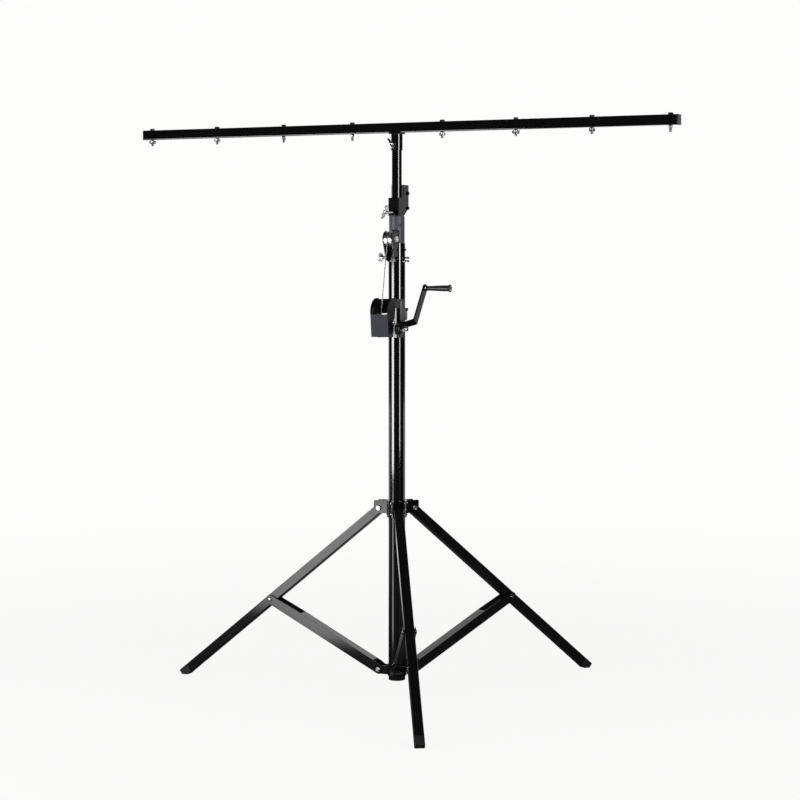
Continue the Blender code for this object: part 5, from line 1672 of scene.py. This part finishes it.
@dataclass
class LiftCable(Assembly):
    """The stranded steel cable over the pulley, on the drum and down inside the column."""

    radius: float = 0.0015
    strands: int = 6
    points_a_strand: int = 5
    lay: float = 0.020
    inside_y: float = -0.0207
    lift_travel: float = 1.1
    winding_radius: float = 0.02165
    wrap: float = 150.0
    winding_start: float = -0.0034
    winding_turns: float = 3.75
    winding_pitch: float = 0.0036
    steps_a_turn: int = 110
    pulley_steps: int = 60
    straight_steps: int = 200
    wrap_steps: int = 45

    def build(self) -> None:
        """Builds the cable's three pieces."""
        start, end, front = self._tangents()
        over = [(0.0, LAYOUT.pulley_y + LAYOUT.pulley_pitch * math.cos(angle),
                 LAYOUT.pulley_height + LAYOUT.pulley_pitch * math.sin(angle))
                for angle in (front * step / self.pulley_steps for step in range(self.pulley_steps + 1))]
        straight = [tuple(Vector((0, *start)).lerp(Vector((0, *end)), step / self.straight_steps))
                    for step in range(1, self.straight_steps)]
        wrap = math.radians(self.wrap)
        round_drum = [self._on_drum(0.0, front + wrap * step / self.wrap_steps)
                      for step in range(self.wrap_steps + 1)]
        self._sweep("cable_outer_run", over + straight + round_drum, "stand", "lift_cable")
        steps = self.steps_a_turn
        coil = [self._on_drum(self.winding_start - self.winding_pitch * step / steps,
                              front + wrap + 2 * math.pi * step / steps)
                for step in range(int(steps * self.winding_turns) + 1)]
        self._sweep("cable_turns", coil, "drum", "cable_winding")
        self._inner_run()

    def _inner_run(self) -> None:
        """Builds the run inside the column."""
        foot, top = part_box("lift_cable_inner")
        length = top.z - foot.z
        run = Piece("cable_inner_run")
        run.lathe([(0, 0), (self.radius, 0), (self.radius, length), (0, length)],
                  move(0, self.inside_y, foot.z), steps=24)
        wire = run.place("stand", Finish.CABLE, ("lift_cable_inner",), Shading.CAST)
        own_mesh(wire)

    def _on_drum(self, x: float, angle: float) -> Point:
        """A point of the cable where it lies on the drum.

        Args:
            x: Its place along the drum.
            angle: Its direction from the drum's axis, in radians.

        Returns:
            The point.
        """
        return (x, LAYOUT.drum_y + self.winding_radius * math.cos(angle),
                LAYOUT.drum_height + self.winding_radius * math.sin(angle))

    def _tangents(self) -> tuple[Vector, Vector, float]:
        """Where the cable leaves the pulley's front and meets the drum's front.

        Returns:
            The two points as (y, z), and the direction of both from their centres.
        """
        pulley = Vector((LAYOUT.pulley_y, LAYOUT.pulley_height))
        drum = Vector((LAYOUT.drum_y, LAYOUT.drum_height))
        offset = Vector((LAYOUT.drum_y - LAYOUT.pulley_y, LAYOUT.drum_height - LAYOUT.pulley_height))
        along = offset.normalized()
        lean = math.asin((LAYOUT.pulley_pitch - self.winding_radius) / offset.length)
        normal = Vector((along.y, -along.x)) * math.cos(lean) + along * math.sin(lean)
        start, end = pulley + normal * LAYOUT.pulley_pitch, drum + normal * self.winding_radius
        front = math.atan2(normal.y, normal.x)
        return start, end, front if front > 0 else front + 2 * math.pi

    def _sweep(self, name: str, route: Sequence[Point], body: str, node: str) -> None:
        """Sweeps a ring of strands along a route, twisting as it goes.

        Args:
            name: The piece's name.
            route: The cable's middle line.
            body: The body that it rides on.
            node: The CAD node that it replaces.
        """
        lobes = self._section()
        section = lobes.data
        curve = bpy.data.curves.new(name, "CURVE")
        curve.dimensions = "3D"
        curve.bevel_mode = "OBJECT"
        curve.bevel_object = lobes
        curve.use_fill_caps = True
        spline = curve.splines.new("POLY")
        spline.points.add(len(route) - 1)
        travelled = 0.0
        previous = Vector(route[0])
        for point, spot in zip(spline.points, route):
            travelled += (Vector(spot) - previous).length
            previous = Vector(spot)
            point.co = (*spot, 1)
            point.tilt = 2 * math.pi * travelled / self.lay
        mesh = finished_mesh(put(name + "_route", curve))
        piece = Piece(name)
        piece.bm.from_mesh(mesh)
        merge(piece.bm)
        bpy.data.meshes.remove(mesh)
        bpy.data.objects.remove(lobes, do_unlink=True)
        bpy.data.curves.remove(section)
        piece.place(body, Finish.CABLE, (node,), Shading.CAST)

    def _section(self) -> bpy.types.Object:
        """The cable's cross-section: a ring of round strands.

        Returns:
            A flat curve object.
        """
        curve = bpy.data.curves.new("strand_ring", "CURVE")
        curve.dimensions = "2D"
        spline = curve.splines.new("POLY")
        count = self.strands * self.points_a_strand
        spline.points.add(count - 1)
        for index, point in enumerate(spline.points):
            angle = 2 * math.pi * index / count
            bulge = abs(math.cos(self.strands * angle / 2))
            reach = self.radius * (0.80 + 0.20 * bulge ** 0.6)
            point.co = (reach * math.cos(angle), reach * math.sin(angle), 0, 1)
        spline.use_cyclic_u = True
        return put("strand_ring", curve)


@dataclass(frozen=True)
class Softbox:
    """A flat lamp that stands upright and faces the stand."""

    name: str
    angle: float
    width: float
    foot: float
    top: float
    brightness: float

    def build(self, towards_camera: float, distance: float) -> None:
        """Hangs the lamp.

        Args:
            towards_camera: The camera's direction from the stand, in radians.
            distance: The lamp's distance from the stand.
        """
        height = self.top - self.foot
        light = bpy.data.lights.new(self.name, "AREA")
        light.shape = "RECTANGLE"
        light.size, light.size_y = self.width, height
        light.energy = self.brightness * self.width * height * math.pi
        lamp = put(self.name, light)
        angle = towards_camera + math.radians(self.angle)
        middle = (self.foot + self.top) / 2
        lamp.location = (distance * math.cos(angle), distance * math.sin(angle), middle)
        aim = Vector((0, 0, middle)) - lamp.location
        lamp.rotation_euler = aim.to_track_quat("-Z", "Y").to_euler()


@dataclass(frozen=True)
class Studio:
    """The photograph's camera, its softboxes, a white room and a pale floor."""

    camera_place: Point = (2.742, -5.805, 1.293)
    camera_pitch: float = -3.588
    camera_turn: float = 25.20
    lens: float = 96.31
    sensor: float = 36.0
    box_distance: float = 3.0
    softboxes: tuple[Softbox, ...] = (
        Softbox("softbox_left", -56.5, 1.66, 0.38, 1.30, 10.5),
        Softbox("softbox_right", 40.0, 0.66, 1.12, 2.30, 13.0),
        Softbox("softbox_right_foot", 40.0, 0.62, 0.48, 1.12, 8.0),
    )
    ambient: float = 0.42
    room_dark: float = 0.008
    room_edge: Pair = (0.42, 0.98)
    floor_size: float = 14.0
    floor_sides: int = 96
    floor_white: float = 0.92
    white_reach: Pair = (1.0, 5.0)
    backdrop_reach: Pair = (0.5, 3.0)
    paper_light: float = 0.6
    paper_dark: float = 0.05
    paper_roughness: float = 0.9
    paper_specular: float = 0.1
    pool_edge: Pair = (0.970, 0.996)
    pool_reach: Pair = (5.0, 7.0)
    pool_start: Pair = (0.7, 1.2)
    pool_brightness: float = 2.6

    @property
    def behind(self) -> Vector:
        """The level direction from the camera to the stand.

        Returns:
            A vector of length 1.
        """
        return Vector((-self.camera_place[0], -self.camera_place[1], 0)).normalized()

    def build(self) -> None:
        """Builds the studio."""
        bpy.context.scene.view_settings.view_transform = "Standard"
        self._camera()
        towards_camera = math.atan2(self.camera_place[1], self.camera_place[0])
        for softbox in self.softboxes:
            softbox.build(towards_camera, self.box_distance)
        self._world()
        self._floor()

    def _camera(self) -> None:
        """Sets up the photograph's camera."""
        data = bpy.data.cameras.new("photo_camera")
        data.lens = self.lens
        data.sensor_width = self.sensor
        camera = put("photo_camera", data)
        camera.location = self.camera_place
        camera.rotation_euler = (math.radians(QUARTER_TURN + self.camera_pitch), 0,
                                 math.radians(self.camera_turn))
        bpy.context.scene.camera = camera

    def _world(self) -> None:
        """Makes a room that is white behind the stand and dark behind the camera."""
        world = bpy.data.worlds.new("studio_room")
        world.use_nodes = True
        bpy.context.scene.world = world
        graph = Graph(world.node_tree)
        rays = graph.tree.nodes.new("ShaderNodeLightPath").outputs
        seen = graph.combine("MAXIMUM", rays["Is Camera Ray"], rays["Is Transmission Ray"])
        away = graph.along(graph.add("TexCoord", {}, "Generated"), self.behind)
        room = graph.scaled(away, self.room_edge, (self.room_dark, 1.0), "SMOOTHSTEP")
        glossy = graph.mix(rays["Is Glossy Ray"], self.ambient, room, Mix.NUMBERS)
        background = graph.tree.nodes["Background"].inputs
        graph.join(graph.mix(seen, glossy, 1.0, Mix.NUMBERS), background["Strength"])
        graph.join(STUDIO_WHITE, background["Color"])

    def _floor(self) -> None:
        """Lays the floor."""
        bm = bmesh.new()
        bmesh.ops.create_circle(bm, cap_ends=True, segments=self.floor_sides,
                                radius=self.floor_size)
        mesh = bpy.data.meshes.new("studio_floor")
        bm.to_mesh(mesh)
        bm.free()
        mesh.materials.append(self._paper())
        put("studio_floor", mesh)

    def _paper(self) -> bpy.types.Material:
        """Makes the paper, which the camera sees nearly white, with a soft shadow by the stand.

        Returns:
            The node material.
        """
        nodes = MaterialNodes("studio_paper")
        nodes.shade(Roughness=self.paper_roughness, Specular_IOR_Level=self.paper_specular)
        reach = nodes.add("VectorMath", {0: nodes.position}, "Value", operation="LENGTH")
        level = nodes.add("VectorMath", {0: nodes.position}, "Vector", operation="NORMALIZE")
        lit_side = turn(self.softboxes[0].angle, "Z").to_3x3() @ -self.behind
        white = nodes.scaled(reach, self.white_reach, (self.floor_white, 1.0), "SMOOTHSTEP")
        backdrop = nodes.scaled(nodes.along(nodes.position, self.behind), self.backdrop_reach,
                                (0.0, 1.0), "SMOOTHSTEP")
        # The gloss coat mirrors this patch of lit paper on the left softbox's side of the stand.
        pool = nodes.scaled(nodes.along(level, lit_side), self.pool_edge,
                            (0.0, self.pool_brightness), "SMOOTHSTEP")
        for span, ends in ((self.pool_reach, (1.0, 0.0)), (self.pool_start, (0.0, 1.0))):
            pool = nodes.combine("MULTIPLY", pool, nodes.scaled(reach, span, ends, "SMOOTHSTEP"))
        # The camera sees the paper glow. A mirrored ray sees it behind the stand and in the pool.
        rays = nodes.tree.nodes.new("ShaderNodeLightPath").outputs
        direct = nodes.combine("MAXIMUM", rays["Is Camera Ray"], rays["Is Transmission Ray"])
        mirrored = nodes.combine("MULTIPLY", rays["Is Glossy Ray"],
                                 nodes.combine("MAXIMUM", backdrop, pool))
        share = nodes.combine("MULTIPLY", nodes.combine("MAXIMUM", direct, mirrored), white)
        nodes.shade(Base_Color=nodes.mix(rays["Is Camera Ray"], self.paper_dark, self.paper_light,
                                         Mix.NUMBERS))
        glow = nodes.add("Emission", {"Color": STUDIO_WHITE,
                                      "Strength": nodes.combine("MAXIMUM", share, 1.0)})
        paper = nodes.add("MixShader", {0: share, 1: nodes.shader.outputs[0], 2: glow})
        nodes.join(paper, nodes.tree.nodes["Material Output"].inputs["Surface"])
        return nodes.material


def main() -> None:
    """Loads the frame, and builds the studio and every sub-assembly."""
    logging.basicConfig(level=logging.INFO, format="%(message)s")
    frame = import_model()
    Studio().build()
    for assembly in (Column, Tripod, Masts, MastBracket, Crossbar, Pulley, Winch, Crank, LiftCable):
        assembly(frame).build()
    bpy.context.view_layer.update()


if __name__ == "__main__":
    main()
